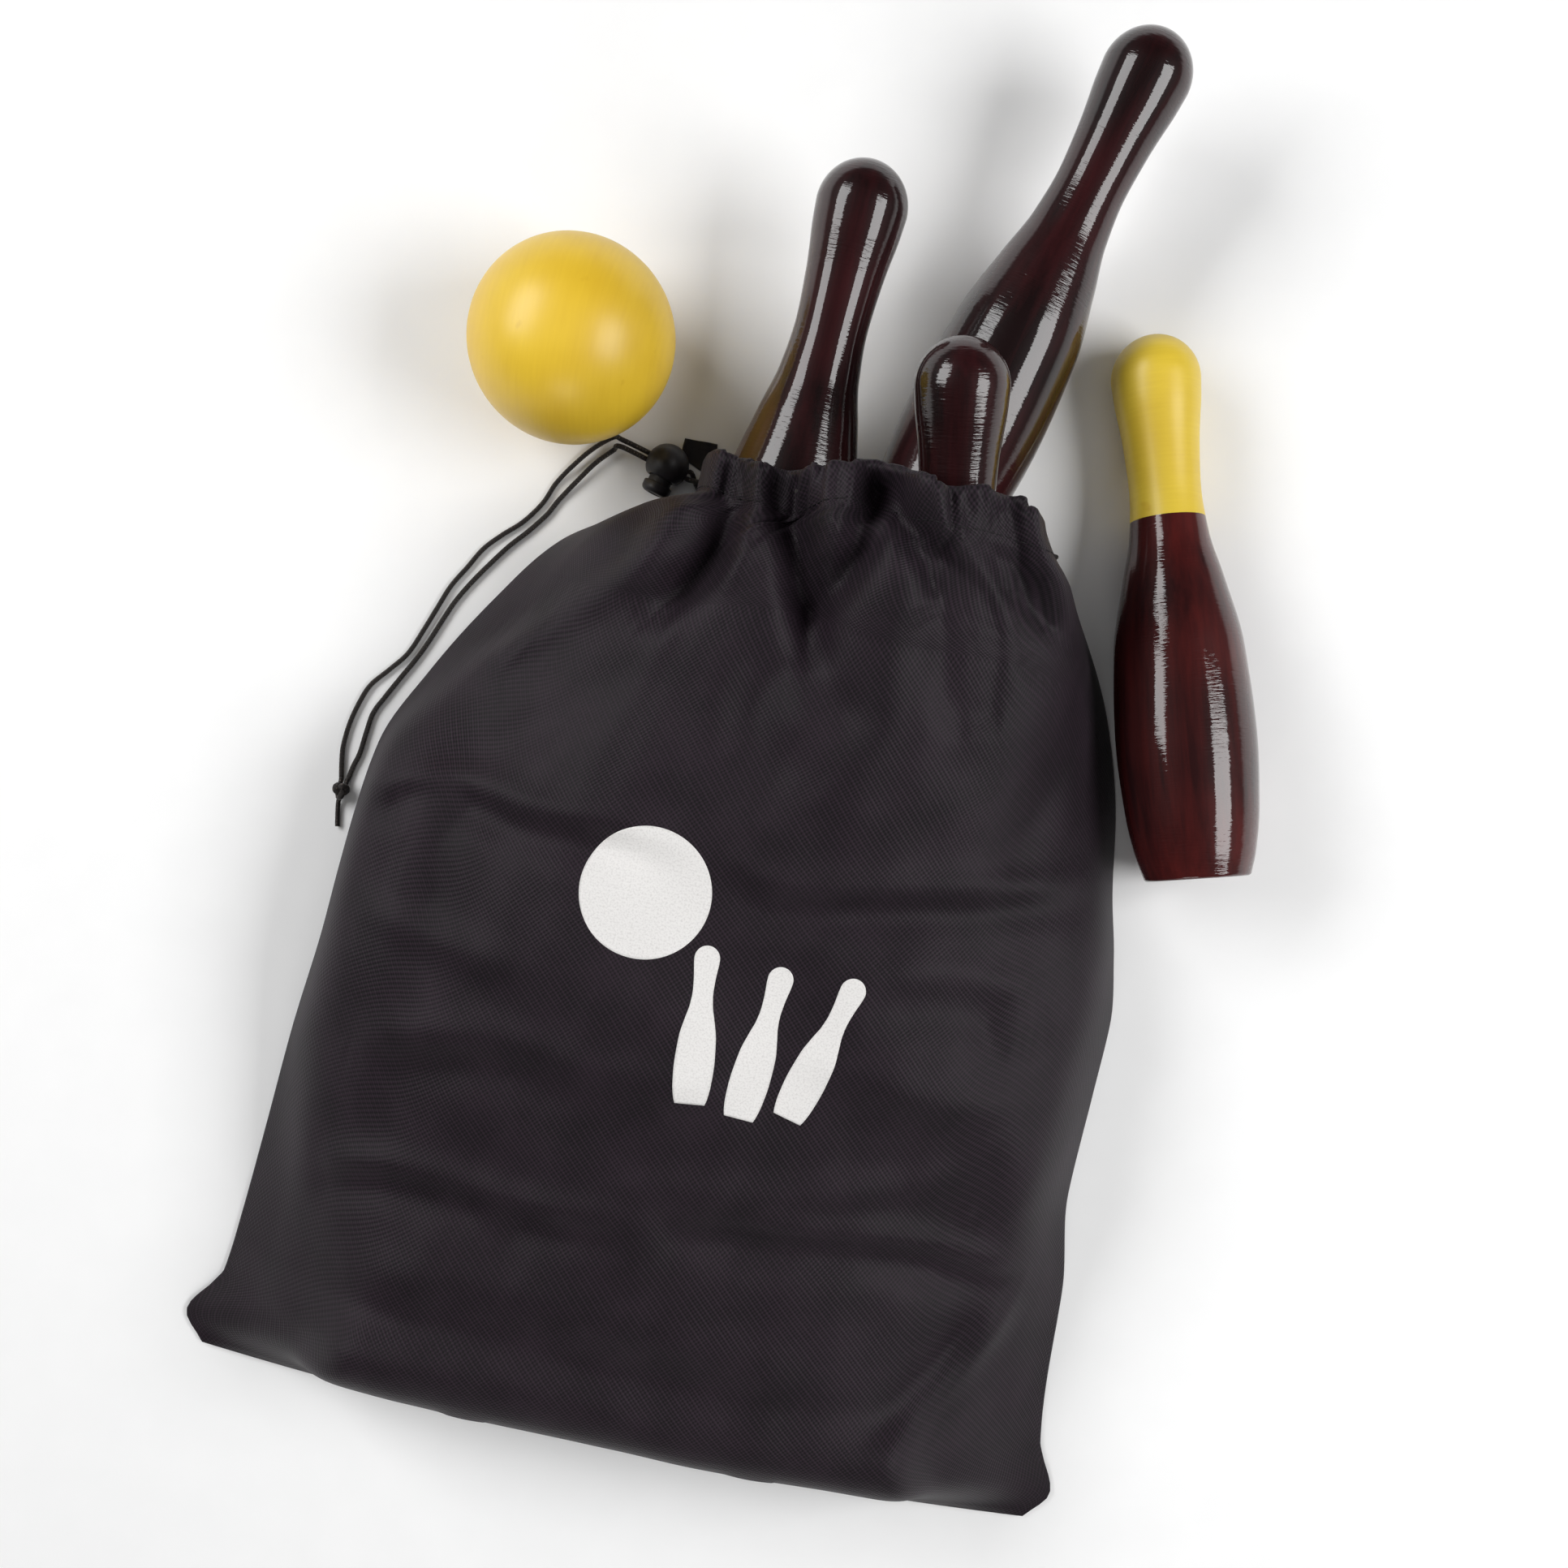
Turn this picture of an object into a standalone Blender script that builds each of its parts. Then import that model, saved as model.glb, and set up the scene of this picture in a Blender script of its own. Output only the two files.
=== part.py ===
"""Lawn ninepins: nine turned wooden pins and a ball with their drawstring bag.

Eight pins are still in the bag, three of them sticking out of its mouth. The king pin and the ball
lie on the lawn beside it. Metres, +Z up, +Y from the bag's bottom seam to its mouth, and the floor
at zero.
"""

import math

import bmesh
import bpy
import numpy as np
from mathutils import Matrix, Vector

# Clearances
SEAT_GAP = 0.0003
RUNNING_GAP = 0.0003
SWEEP_CLEARANCE = 0.0012
NECK_CLEARANCE = 0.0021

# Pin, turned in one piece
PIN_HEIGHT = 0.203
FOOT_RADIUS = 0.0190
FOOT_ROUND = 0.0015
BELLY_HEIGHT = 0.050
BELLY_RADIUS = 0.0255
NECK_HEIGHT = 0.144
NECK_RADIUS = 0.0131
HEAD_DOME = 0.017
HEAD_RADIUS = 0.0165
KING_PAINT_LENGTH = 0.070
# Each stretch of the outline: (share of the climb, share of the change of radius)
FOOT_FLARE_SHARES = ((0.17, 0.39), (0.50, 0.79))
SHOULDER_SHARES = ((0.37, 0.145), (0.64, 0.556), (0.82, 0.879))
HEAD_FLARE_SHARES = ((0.40, 0.24), (0.60, 0.50), (0.80, 0.82))
PIN_SEGMENTS = 20
PIN_RINGS = 11
HEAD_RINGS = 4

# Ball
BALL_RADIUS = 0.0375
BALL_SEGMENTS = 24
BALL_RINGS = 12
BALL_PLACE = (-0.0955, 0.2188)

# Bag: two panels sewn on three sides, with a hem tunnel round the mouth
CLOTH = 0.0008
SIDE_SLACK = 0.0385
BOTTOM_SLACK = 0.0105
BOTTOM_BOW = 0.007
MOUTH_LEFT = 0.187
MOUTH_RIGHT = 0.190
BACK_MOUTH_BOW = 0.0171
CASING_CHANNEL = 0.0026
CASING_ROUND = 0.0010
CASING_SEAM = 0.0022
CASING_KNEE_RISE = 0.0008
# (share of the length from the bottom seam, left and right shares of the half width)
EDGE_SHARES = (
    (0.000, -0.950, 0.950),
    (0.030, -1.000, 1.000),
    (0.080, -0.935, 0.955),
    (0.145, -0.922, 0.940),
    (0.240, -0.910, 0.932),
    (0.340, -0.899, 0.900),
    (0.450, -0.878, 0.908),
    (0.520, -0.870, 0.913),
    (0.590, -0.859, 0.890),
    (0.655, -0.841, 0.857),
    (0.740, -0.760, 0.825),
    (0.830, -0.647, 0.765),
    (0.900, -0.534, 0.690),
    (0.945, -0.380, 0.620),
    (0.967, -0.252, 0.570),
    (1.000, -0.249, 0.540),
)
BAG_COLUMNS = 28
BAG_ROWS = 30
DRAPE_STEPS = 400

# Pins in the mouth: plan place of the foot, heading clockwise from +Y and lean in degrees.
# The right pin's foot stands against the back hem, so it needs only its place across.
LEFT_PIN_FOOT = (-0.0106, 0.0991)
LEFT_PIN_HEADING = 2.5
LEFT_PIN_LEAN = 9.0
LEFT_PIN_OVERRUN = 0.010
RIGHT_PIN_FOOT_ACROSS = 0.0411
RIGHT_PIN_HEADING = 14.3
RIGHT_PIN_LEAN = 7.5
RIGHT_PIN_OVERRUN = 0.025
MIDDLE_PIN_FOOT = (0.0776, 0.0478)
MIDDLE_PIN_HEADING = -10.8
MIDDLE_PIN_TRAVEL = 0.040
LEAN_LIMITS = (2.0, 45.0)
LIFT_MARGIN = 0.5

# King pin, on its side beside the bag
KING_PIN_FOOT = (0.1682, 0.0750)
KING_PIN_HEADING = -15.9

# Pins deep in the bag, side by side and head to foot
HIDDEN_PINS_END = 0.0365
HIDDEN_PIN_GAP = 0.0010
HIDDEN_PIN_TRAVELS = (0.020, 0.040, 0.040, 0.008, 0.008)

# Cord and cord lock
CORD_RADIUS = 0.0010
CORD_STEP = 0.005
CORD_TURN = 0.0022
STRAND_DROP_POINTS = 3
LOCK_CENTRE = (-0.0552, 0.1861)
LOCK_HEADING = 166.0
LOCK_RADIUS = 0.0082
LOCK_TRAVEL = 0.010
LOCK_BORE_RADIUS = 0.0047
LOCK_MOUTH = 0.0056
PLUNGER_TRAVEL = 0.0020
PLUNGER_WALL = 0.0012
PLUNGER_CAP_RADIUS = 0.0055
PLUNGER_CAP_HEIGHT = 0.0040
PLUNGER_CAP_ROUND = 0.0020
SPRING_RADIUS = 0.0021
SPRING_WIRE = 0.0004
SPRING_POCKET_DEPTH = 0.0011
STRAND_SPREAD = 0.0013
LOCK_SEGMENTS = 24
LOCK_RINGS = 10
SMALL_SEGMENTS = 20
CUT_OVERRUN = 0.002

# Free strands from the lock to the knot, on the floor, in metres
OUTER_STRAND_ROUTE = (
    (-0.0779, 0.1930),
    (-0.0850, 0.1870),
    (-0.0914, 0.1790),
    (-0.0962, 0.1716),
    (-0.0995, 0.1633),
    (-0.1053, 0.1548),
    (-0.1121, 0.1482),
    (-0.1180, 0.1416),
    (-0.1226, 0.1333),
    (-0.1272, 0.1251),
    (-0.1306, 0.1158),
    (-0.1338, 0.1068),
    (-0.1379, 0.0965),
    (-0.1436, 0.0889),
    (-0.1496, 0.0813),
    (-0.1528, 0.0721),
    (-0.1543, 0.0646),
    (-0.1548, 0.0563),
    (-0.1540, 0.0500),
    (-0.1530, 0.0448),
)
INNER_STRAND_ROUTE = (
    (-0.0769, 0.1882),
    (-0.0826, 0.1823),
    (-0.0882, 0.1743),
    (-0.0937, 0.1658),
    (-0.0970, 0.1594),
    (-0.1026, 0.1517),
    (-0.1088, 0.1444),
    (-0.1150, 0.1355),
    (-0.1196, 0.1284),
    (-0.1242, 0.1201),
    (-0.1275, 0.1121),
    (-0.1310, 0.1028),
    (-0.1346, 0.0947),
    (-0.1389, 0.0865),
    (-0.1430, 0.0784),
    (-0.1462, 0.0715),
    (-0.1472, 0.0642),
    (-0.1480, 0.0555),
    (-0.1494, 0.0500),
    (-0.1503, 0.0448),
)
KNOT_PLACE = (-0.1516, 0.0400)
KNOT_LENGTH = 0.0100
KNOT_RADIUS = 0.0034
KNOT_TAIL = 0.0090
# (share of the knot's length from its middle, share of its radius)
KNOT_SHARES = ((-0.56, 0.32), (-0.46, 0.59), (-0.28, 0.88), (0, 1), (0.26, 0.88), (0.42, 0.59))
KNOT_LOBE_SHARE = 0.10
KNOT_LOBES = 3
KNOT_TWIST = 2.2

# Tab beside the cord's way out, from its corner on the back hem
TAB_LENGTH = 0.0130
TAB_DEPTH = 0.0118
TAB_SHARES = ((0.23, 1), (-0.73, 0.95), (-0.77, 0.38))

# Colours
RED_LACQUER = (0.058, 0.010, 0.010, 1)
YELLOW_PAINT = (0.66, 0.48, 0.035, 1)
BLACK_CLOTH = (0.026, 0.023, 0.026, 1)
BLACK_PLASTIC = (0.012, 0.012, 0.012, 1)
CORD_COLOUR = (0.030, 0.022, 0.018, 1)
STEEL = (0.56, 0.56, 0.58, 1)

# Worked out from the sizes above
HEAD_HEIGHT = PIN_HEIGHT - HEAD_DOME
HIDDEN_PIN_SPACING = 2 * BELLY_RADIUS + HIDDEN_PIN_GAP
BAG_HALF_WIDTH = len(HIDDEN_PIN_TRAVELS) / 2 * HIDDEN_PIN_SPACING + SIDE_SLACK
BAG_BOTTOM = HIDDEN_PINS_END - PIN_HEIGHT - BOTTOM_SLACK
CASING_THICKNESS = CASING_CHANNEL + 2 * CLOTH
SEAM_HEIGHT = CLOTH + SEAT_GAP
STEM_RADIUS = LOCK_BORE_RADIUS - RUNNING_GAP
SLOT_HALF_HEIGHT = CORD_RADIUS + RUNNING_GAP
SLOT_HALF_WIDTH = STRAND_SPREAD + CORD_RADIUS + RUNNING_GAP
STEM_BOTTOM = -SLOT_HALF_WIDTH - PLUNGER_WALL
BORE_BOTTOM = STEM_BOTTOM - PLUNGER_TRAVEL - RUNNING_GAP
POCKET_BOTTOM = BORE_BOTTOM - SPRING_POCKET_DEPTH
CAP_BASE = LOCK_MOUTH + PLUNGER_TRAVEL + RUNNING_GAP
UP = Vector((0, 0, 1))


def clear_scene():
    """Empties the scene that the script starts in."""
    for obj in list(bpy.data.objects):
        bpy.data.objects.remove(obj, do_unlink=True)


def make_material(name, colour, roughness, metallic=0.0):
    """A Principled material of one colour."""
    material = bpy.data.materials.new(name)
    material.use_nodes = True
    material.diffuse_color = colour
    shader = material.node_tree.nodes["Principled BSDF"]
    shader.inputs["Base Color"].default_value = colour
    shader.inputs["Roughness"].default_value = roughness
    shader.inputs["Metallic"].default_value = metallic
    return material


def add_object(name, mesh, *materials):
    """Links a mesh as a named object in the scene."""
    obj = bpy.data.objects.new(name, mesh)
    bpy.context.scene.collection.objects.link(obj)
    for material in materials:
        if material.name not in mesh.materials:
            mesh.materials.append(material)
    return obj


def mesh_from(name, points, faces, smooth=True):
    """A mesh of the given points and faces, with its normals turned outward."""
    mesh = bpy.data.meshes.new(name)
    mesh.from_pydata([tuple(point) for point in points], [], faces)
    shell = bmesh.new()
    shell.from_mesh(mesh)
    bmesh.ops.recalc_face_normals(shell, faces=shell.faces)
    shell.to_mesh(mesh)
    shell.free()
    if smooth:
        mesh.shade_smooth()
        mesh.set_sharp_from_angle(angle=math.radians(40))
    return mesh


def turned_mesh(name, outline, segments):
    """Turns an outline of (radius, height) round Z. A radius of zero is a point on the axis."""
    points = []
    rings = []
    for radius, height in outline:
        if radius > 0:
            rings.append([len(points) + k for k in range(segments)])
            for k in range(segments):
                angle = 2 * math.pi * k / segments
                points.append((radius * math.cos(angle), radius * math.sin(angle), height))
        else:
            rings.append([len(points)] * segments)
            points.append((0, 0, height))
    faces = []
    for low, high in zip(rings, rings[1:]):
        for k in range(segments):
            after = (k + 1) % segments
            corners = (low[k], low[after], high[after], high[k])
            faces.append(tuple(dict.fromkeys(corners)))
    return mesh_from(name, points, faces)


def arc(centre, radius, start, end, steps):
    """Points of an arc as (across, up), with the angles in degrees."""
    angles = np.radians(np.linspace(start, end, steps + 1))
    return [(centre[0] + radius * math.cos(a), centre[1] + radius * math.sin(a)) for a in angles]


def monotone_curve(keys, places):
    """Values of the smooth curve through the keys, which never overshoots them."""
    x, y = np.array(keys, dtype=float).T
    slopes = np.diff(y) / np.diff(x)
    tangents = np.zeros(len(x))
    same_way = slopes[:-1] * slopes[1:] > 0
    inner = np.where(same_way, 2 * slopes[:-1] * slopes[1:] / (slopes[:-1] + slopes[1:] + ~same_way), 0)
    tangents[1:-1] = inner
    tangents[0] = slopes[0]
    tangents[-1] = slopes[-1]
    places = np.clip(places, x[0], x[-1])
    k = np.clip(np.searchsorted(x, places) - 1, 0, len(slopes) - 1)
    span = x[k + 1] - x[k]
    t = (places - x[k]) / span
    return (
        (1 + 2 * t) * (1 - t) ** 2 * y[k]
        + t * (1 - t) ** 2 * span * tangents[k]
        + t**2 * (3 - 2 * t) * y[k + 1]
        - t**2 * (1 - t) * span * tangents[k + 1]
    )


def between(low, high, shares):
    """Turns shares of a stretch into (height, radius) points."""
    return [
        (low[0] + up * (high[0] - low[0]), low[1] + out * (high[1] - low[1])) for up, out in shares
    ]


def pin_keys():
    """The pin's outline below its head as (height, radius) points."""
    foot = (0, FOOT_RADIUS)
    belly = (BELLY_HEIGHT, BELLY_RADIUS)
    neck = (NECK_HEIGHT, NECK_RADIUS)
    head = (HEAD_HEIGHT, HEAD_RADIUS)
    keys = [foot] + between(foot, belly, FOOT_FLARE_SHARES) + [belly]
    keys += between(belly, neck, SHOULDER_SHARES) + [neck]
    return keys + between(neck, head, HEAD_FLARE_SHARES) + [head]


def pin_radius(heights):
    """The pin's radius at each height above its foot."""
    heights = np.asarray(heights, dtype=float)
    body = monotone_curve(pin_keys(), heights)
    dome = np.clip((heights - HEAD_HEIGHT) / HEAD_DOME, 0, 1)
    return np.where(heights > HEAD_HEIGHT, HEAD_RADIUS * np.sqrt(1 - dome**2), body)


def pin_mesh():
    """One turned pin, standing on its foot at the origin, with a ring where the paint ends."""
    rings = np.linspace(FOOT_ROUND, HEAD_HEIGHT, PIN_RINGS + 1)
    rings = np.unique(np.append(rings, PIN_HEIGHT - KING_PAINT_LENGTH))
    outline = [(0, 0), (FOOT_RADIUS - FOOT_ROUND, 0)]
    outline += [(float(pin_radius(height)), float(height)) for height in rings]
    for step in range(1, HEAD_RINGS):
        angle = math.radians(90 * step / HEAD_RINGS)
        rise = HEAD_DOME * math.sin(angle)
        outline.append((HEAD_RADIUS * math.cos(angle), HEAD_HEIGHT + rise))
    outline.append((0, PIN_HEIGHT))
    return turned_mesh("pin", outline, PIN_SEGMENTS)


def slide_direction(heading, lift):
    """The unit vector of a heading and a rise in degrees."""
    turn = math.radians(heading)
    rise = math.radians(lift)
    return Vector(
        (math.sin(turn) * math.cos(rise), math.cos(turn) * math.cos(rise), math.sin(rise))
    )


def pin_support(lean):
    """How far the foot's centre is above the surface that a leaning pin touches."""
    heights = np.linspace(0, PIN_HEIGHT, 400)
    tilt = math.radians(lean)
    radii = pin_radius(heights)
    return float(-np.min(heights * math.sin(tilt) - radii * math.cos(tilt)))


def lying_lean():
    """The lean of a pin that lies on its belly and its head."""
    return -math.degrees(math.asin((BELLY_RADIUS - HEAD_RADIUS) / (HEAD_HEIGHT - BELLY_HEIGHT)))


def pin_matrix(place, heading, lean, surface, gap):
    """Where a pin lies, from the plan place of its foot and the surface under it."""
    along = slide_direction(heading, lean)
    side = UP.cross(along).normalized()
    foot = Vector((*place, surface + gap + pin_support(lean)))
    axes = Matrix((side, along.cross(side), along)).transposed()
    return Matrix.Translation(foot) @ axes.to_4x4()


def pin_samples(clearance):
    """Points all over a pin that is larger by the clearance, in its own axes."""
    heights = np.repeat(np.linspace(0, PIN_HEIGHT, 41), 36)
    angles = np.tile(np.linspace(0, 2 * math.pi, 36, endpoint=False), 41)
    radii = pin_radius(heights) + clearance
    return np.column_stack([radii * np.cos(angles), radii * np.sin(angles), heights])


def moved(points, matrix):
    """The points in the axes that the matrix leads to."""
    matrix = np.array(matrix)
    return points @ matrix[:3, :3].T + matrix[:3, 3]


def pin_clearance(placed, other):
    """The least distance from one pin's surface out to the other's, negative where they meet."""
    points = moved(moved(pin_samples(0), placed), other.inverted())
    inside = (points[:, 2] > 0) & (points[:, 2] < PIN_HEIGHT)
    if not inside.any():
        return PIN_HEIGHT
    points = points[inside]
    return float(np.min(np.hypot(points[:, 0], points[:, 1]) - pin_radius(points[:, 2])))


def least_angle(clears, limits):
    """The least angle between the limits, in degrees, at which the test holds."""
    low, high = limits
    for _ in range(30):
        middle = (low + high) / 2
        if clears(middle):
            high = middle
        else:
            low = middle
    return high


def middle_pin_matrix(right_pin):
    """The middle pin stands on its foot's edge and leans with its neck just clear of the right pin."""

    def place(lean):
        return pin_matrix(MIDDLE_PIN_FOOT, MIDDLE_PIN_HEADING, lean, CLOTH, SEAT_GAP)

    def clears(lean):
        return pin_clearance(place(lean), right_pin) > NECK_CLEARANCE

    lean = least_angle(clears, LEAN_LIMITS)
    return place(lean), lean


def middle_pin_lift(middle_pin, right_pin, lean):
    """The steepness at which the middle pin slides clear over the right one."""
    steps = np.linspace(0, MIDDLE_PIN_TRAVEL, 9)

    def clears(lift):
        way = slide_direction(MIDDLE_PIN_HEADING, lift)
        return all(
            pin_clearance(Matrix.Translation(way * float(step)) @ middle_pin, right_pin) > SEAT_GAP
            for step in steps
        )

    return least_angle(clears, (lean, LEAN_LIMITS[1])) + LIFT_MARGIN


def mouth_travel(matrix, way, overrun):
    """How far a pin slides until its foot is out of the bag's mouth."""
    mouth = max(MOUTH_LEFT, MOUTH_RIGHT)
    return (mouth - matrix.translation.y) / way.y + overrun


def edge_place(share, side):
    """Half of the bag's outline: where the side seam runs at a share of the bag's length."""
    keys = [(row[0], row[1] if side < 0 else row[2]) for row in EDGE_SHARES]
    return BAG_HALF_WIDTH * float(monotone_curve(keys, share))


def panel_plan(column, row):
    """The plan place of a point of the front panel, from shares of its width and its length."""
    left = edge_place(row, -1)
    right = edge_place(row, 1)
    mouth = MOUTH_LEFT + (MOUTH_RIGHT - MOUTH_LEFT) * column
    bow = BOTTOM_BOW * (1 - row) * (1 - (2 * column - 1) ** 2)
    return left + (right - left) * column, BAG_BOTTOM + (mouth - BAG_BOTTOM) * row - bow


def back_mouth_sag(column):
    """How far the back panel's mouth lies behind the front one's."""
    return BACK_MOUTH_BOW * (1 - (2 * column - 1) ** 2)


def back_mouth_line(across):
    """How far from the origin, along the bag, the back mouth's edge is at each place across."""
    left = edge_place(1, -1)
    column = (across - left) / (edge_place(1, 1) - left)
    return MOUTH_LEFT + (MOUTH_RIGHT - MOUTH_LEFT) * column - back_mouth_sag(column)


def right_pin_matrix():
    """The right pin stands on the floor with its foot against the back hem."""

    def place(foot):
        return pin_matrix((RIGHT_PIN_FOOT_ACROSS, foot), RIGHT_PIN_HEADING, RIGHT_PIN_LEAN, 0, SEAT_GAP)

    angles = np.linspace(0, 2 * math.pi, 120)
    radius = float(pin_radius(FOOT_ROUND))
    heights = np.full(len(angles), FOOT_ROUND)
    rim = np.column_stack([radius * np.cos(angles), radius * np.sin(angles), heights])
    rim = moved(rim, place(0))
    low = rim[rim[:, 2] < CASING_THICKNESS]
    # The hem's edge is rounded, which leaves the gap between the two.
    return place(float(np.max(back_mouth_line(low[:, 0]) - low[:, 1])))


def obstacle_heights(plan, held_pins):
    """The height that the front panel has to clear at each place, for every pin on its whole way."""
    swept = []
    for matrix, way, travel in held_pins:
        surface = moved(pin_samples(SWEEP_CLEARANCE), matrix)
        for step in np.linspace(0, travel, 13):
            swept.append(surface + step * np.array(way))
    swept = np.concatenate(swept)
    heights = np.full(plan.shape[:2], SEAM_HEIGHT)
    # Each point of the grid clears whatever is within the cells that meet there.
    reach = np.abs(np.gradient(plan, axis=0)) + np.abs(np.gradient(plan, axis=1))
    for index in np.ndindex(heights.shape):
        near = (np.abs(swept[:, :2] - plan[index]) < reach[index]).all(axis=1)
        if near.any():
            heights[index] = max(SEAM_HEIGHT, float(swept[near, 2].max()))
    return heights


def drape_front(held_pins):
    """The grid of the front panel's inner face: a cloth pulled taut over the pins and their ways."""
    columns = np.linspace(0, 1, BAG_COLUMNS + 1)
    rows = np.linspace(0, 1, BAG_ROWS + 1)
    plan = np.array([[panel_plan(column, row) for column in columns] for row in rows])
    floor = obstacle_heights(plan, held_pins)
    casing_ends = CASING_THICKNESS + SEAT_GAP
    sides = np.where(rows > 1 - 1.5 / BAG_ROWS, casing_ends, SEAM_HEIGHT)
    height = floor.copy()
    height[0] = SEAM_HEIGHT
    height[:, 0] = sides
    height[:, -1] = sides
    for _ in range(DRAPE_STEPS):
        height[-2:, [1, -2]] = casing_ends + CASING_KNEE_RISE
        beyond = np.vstack([height, 2 * height[-1:] - height[-2:-1]])
        level = (beyond[:-2, 1:-1] + beyond[2:, 1:-1] + beyond[1:-1, :-2] + beyond[1:-1, 2:]) / 4
        height[1:, 1:-1] = np.maximum(floor[1:, 1:-1], level)
    height[-2:, [1, -2]] = casing_ends + CASING_KNEE_RISE
    return np.dstack([plan, height])


def grid_normals(grid):
    """The upward unit normal at each point of a grid."""
    across = np.gradient(grid, axis=1)
    along = np.gradient(grid, axis=0)
    normals = np.cross(across, along)
    return normals / np.linalg.norm(normals, axis=2, keepdims=True)


def sheet_mesh(name, lower, upper):
    """A closed sheet between two grids of the same size."""
    rows, columns = lower.shape[:2]
    count = rows * columns
    points = np.concatenate([lower.reshape(-1, 3), upper.reshape(-1, 3)])
    faces = []
    for r in range(rows - 1):
        for c in range(columns - 1):
            a = r * columns + c
            b = a + columns
            faces.append((a, b, b + 1, a + 1))
            faces.append((count + a, count + a + 1, count + b + 1, count + b))
    rim = list(range(columns))
    rim += [r * columns + columns - 1 for r in range(1, rows)]
    rim += [(rows - 1) * columns + c for c in range(columns - 2, -1, -1)]
    rim += [r * columns for r in range(rows - 2, 0, -1)]
    for a, b in zip(rim, rim[1:] + rim[:1]):
        faces.append((a, b, count + b, count + a))
    return mesh_from(name, points, faces)


def unit_rows(vectors):
    """Each row of the array at unit length."""
    return vectors / np.linalg.norm(vectors, axis=1, keepdims=True)


def casing_normals(hem, mouth):
    """Outward normals at the hem's stations, longer in a bend so that the tunnel keeps its height."""
    along = np.diff((hem + mouth) / 2, axis=0)
    across = mouth - hem
    faces = unit_rows(np.cross(along, (across[:-1] + across[1:]) / 2))
    before = np.vstack([faces[:1], faces])
    after = np.vstack([faces, faces[-1:]])
    normals = unit_rows(before + after)
    return normals / np.sum(normals * before, axis=1, keepdims=True)


def casing_sections(hem, mouth, normals):
    """Outer and inner loops of the hem tunnel at each station, and the line of its cord."""
    outer = []
    inner = []
    cord = []
    for low, high, normal in zip(hem, mouth, normals):
        depth = np.linalg.norm(high - low)
        across = (high - low) / depth
        corners = (
            (SEAT_GAP, CASING_ROUND),
            (SEAT_GAP + CASING_ROUND, 0),
            (depth - CASING_ROUND, 0),
            (depth, CASING_ROUND),
            (depth, CASING_THICKNESS - CASING_ROUND),
            (depth - CASING_ROUND, CASING_THICKNESS),
            (SEAT_GAP + CASING_ROUND, CASING_THICKNESS),
            (SEAT_GAP, CASING_THICKNESS - CASING_ROUND),
        )
        channel = (
            (CASING_SEAM, CLOTH),
            (depth - CLOTH, CLOTH),
            (depth - CLOTH, CLOTH + CASING_CHANNEL),
            (CASING_SEAM, CLOTH + CASING_CHANNEL),
        )
        outer.append([low + s * across + n * normal for s, n in corners])
        inner.append([low + s * across + n * normal for s, n in channel])
        cord.append(low + (CASING_SEAM + depth - CLOTH) / 2 * across + CASING_THICKNESS / 2 * normal)
    return np.array(outer), np.array(inner), np.array(cord)


def tunnel_mesh(name, outer, inner):
    """A tube with an open channel, through stations of outer and inner loops."""
    stations, outer_count = outer.shape[:2]
    inner_count = inner.shape[1]
    points = np.concatenate([outer.reshape(-1, 3), inner.reshape(-1, 3)])
    start = stations * outer_count
    faces = []
    for s in range(stations - 1):
        for k in range(outer_count):
            a = s * outer_count + k
            b = s * outer_count + (k + 1) % outer_count
            faces.append((a, b, b + outer_count, a + outer_count))
        for k in range(inner_count):
            a = start + s * inner_count + k
            b = start + s * inner_count + (k + 1) % inner_count
            faces.append((b, a, a + inner_count, b + inner_count))
    # Each end is closed round the channel: one outer pair of corners to each channel corner.
    for s in (0, stations - 1):
        for k in range(inner_count):
            first = s * outer_count + 2 * k
            second = s * outer_count + 2 * k + 1
            third = s * outer_count + (2 * k + 2) % outer_count
            here = start + s * inner_count + k
            after = start + s * inner_count + (k + 1) % inner_count
            faces.append((first, second, here))
            faces.append((second, third, after, here))
    return mesh_from(name, points, faces)


def smooth_route(points, step):
    """Evenly spaced points of the smooth curve through the route's own points."""
    keys = np.array([points[0], *points, points[-1]], dtype=float)
    dense = []
    for a, b, c, d in zip(keys, keys[1:], keys[2:], keys[3:]):
        for t in np.linspace(0, 1, 12, endpoint=False):
            dense.append(
                (2 * b + (c - a) * t + (2 * a - 5 * b + 4 * c - d) * t**2 + (3 * b - a - 3 * c + d) * t**3)
                / 2
            )
    dense.append(keys[-1])
    dense = np.array(dense)
    lengths = np.append(0, np.cumsum(np.linalg.norm(np.diff(dense, axis=0), axis=1)))
    count = max(2, round(float(lengths[-1] / step)))
    places = np.linspace(0, lengths[-1], count + 1)
    return np.column_stack([np.interp(places, lengths, dense[:, axis]) for axis in range(3)])


def cord_object(name, points, material):
    """A cord along the points, with closed ends."""
    curve = bpy.data.curves.new(name, "CURVE")
    curve.dimensions = "3D"
    curve.bevel_depth = CORD_RADIUS
    curve.bevel_resolution = 2
    curve.use_fill_caps = True
    spline = curve.splines.new("POLY")
    spline.points.add(len(points) - 1)
    for target, point in zip(spline.points, points):
        target.co = (*point, 1)
    obj = bpy.data.objects.new(name, curve)
    bpy.context.scene.collection.objects.link(obj)
    curve.materials.append(material)
    return obj


def box_cutter(name, low, high):
    """A hidden box between two corners, for a Boolean cut."""
    mesh = bpy.data.meshes.new(name)
    shell = bmesh.new()
    bmesh.ops.create_cube(shell, size=1)
    for vertex in shell.verts:
        share = vertex.co + Vector((0.5, 0.5, 0.5))
        vertex.co = [a + (b - a) * t for a, b, t in zip(low, high, share)]
    shell.to_mesh(mesh)
    shell.free()
    cutter = add_object(name, mesh)
    cutter.hide_render = True
    cutter.display_type = "WIRE"
    return cutter


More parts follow.
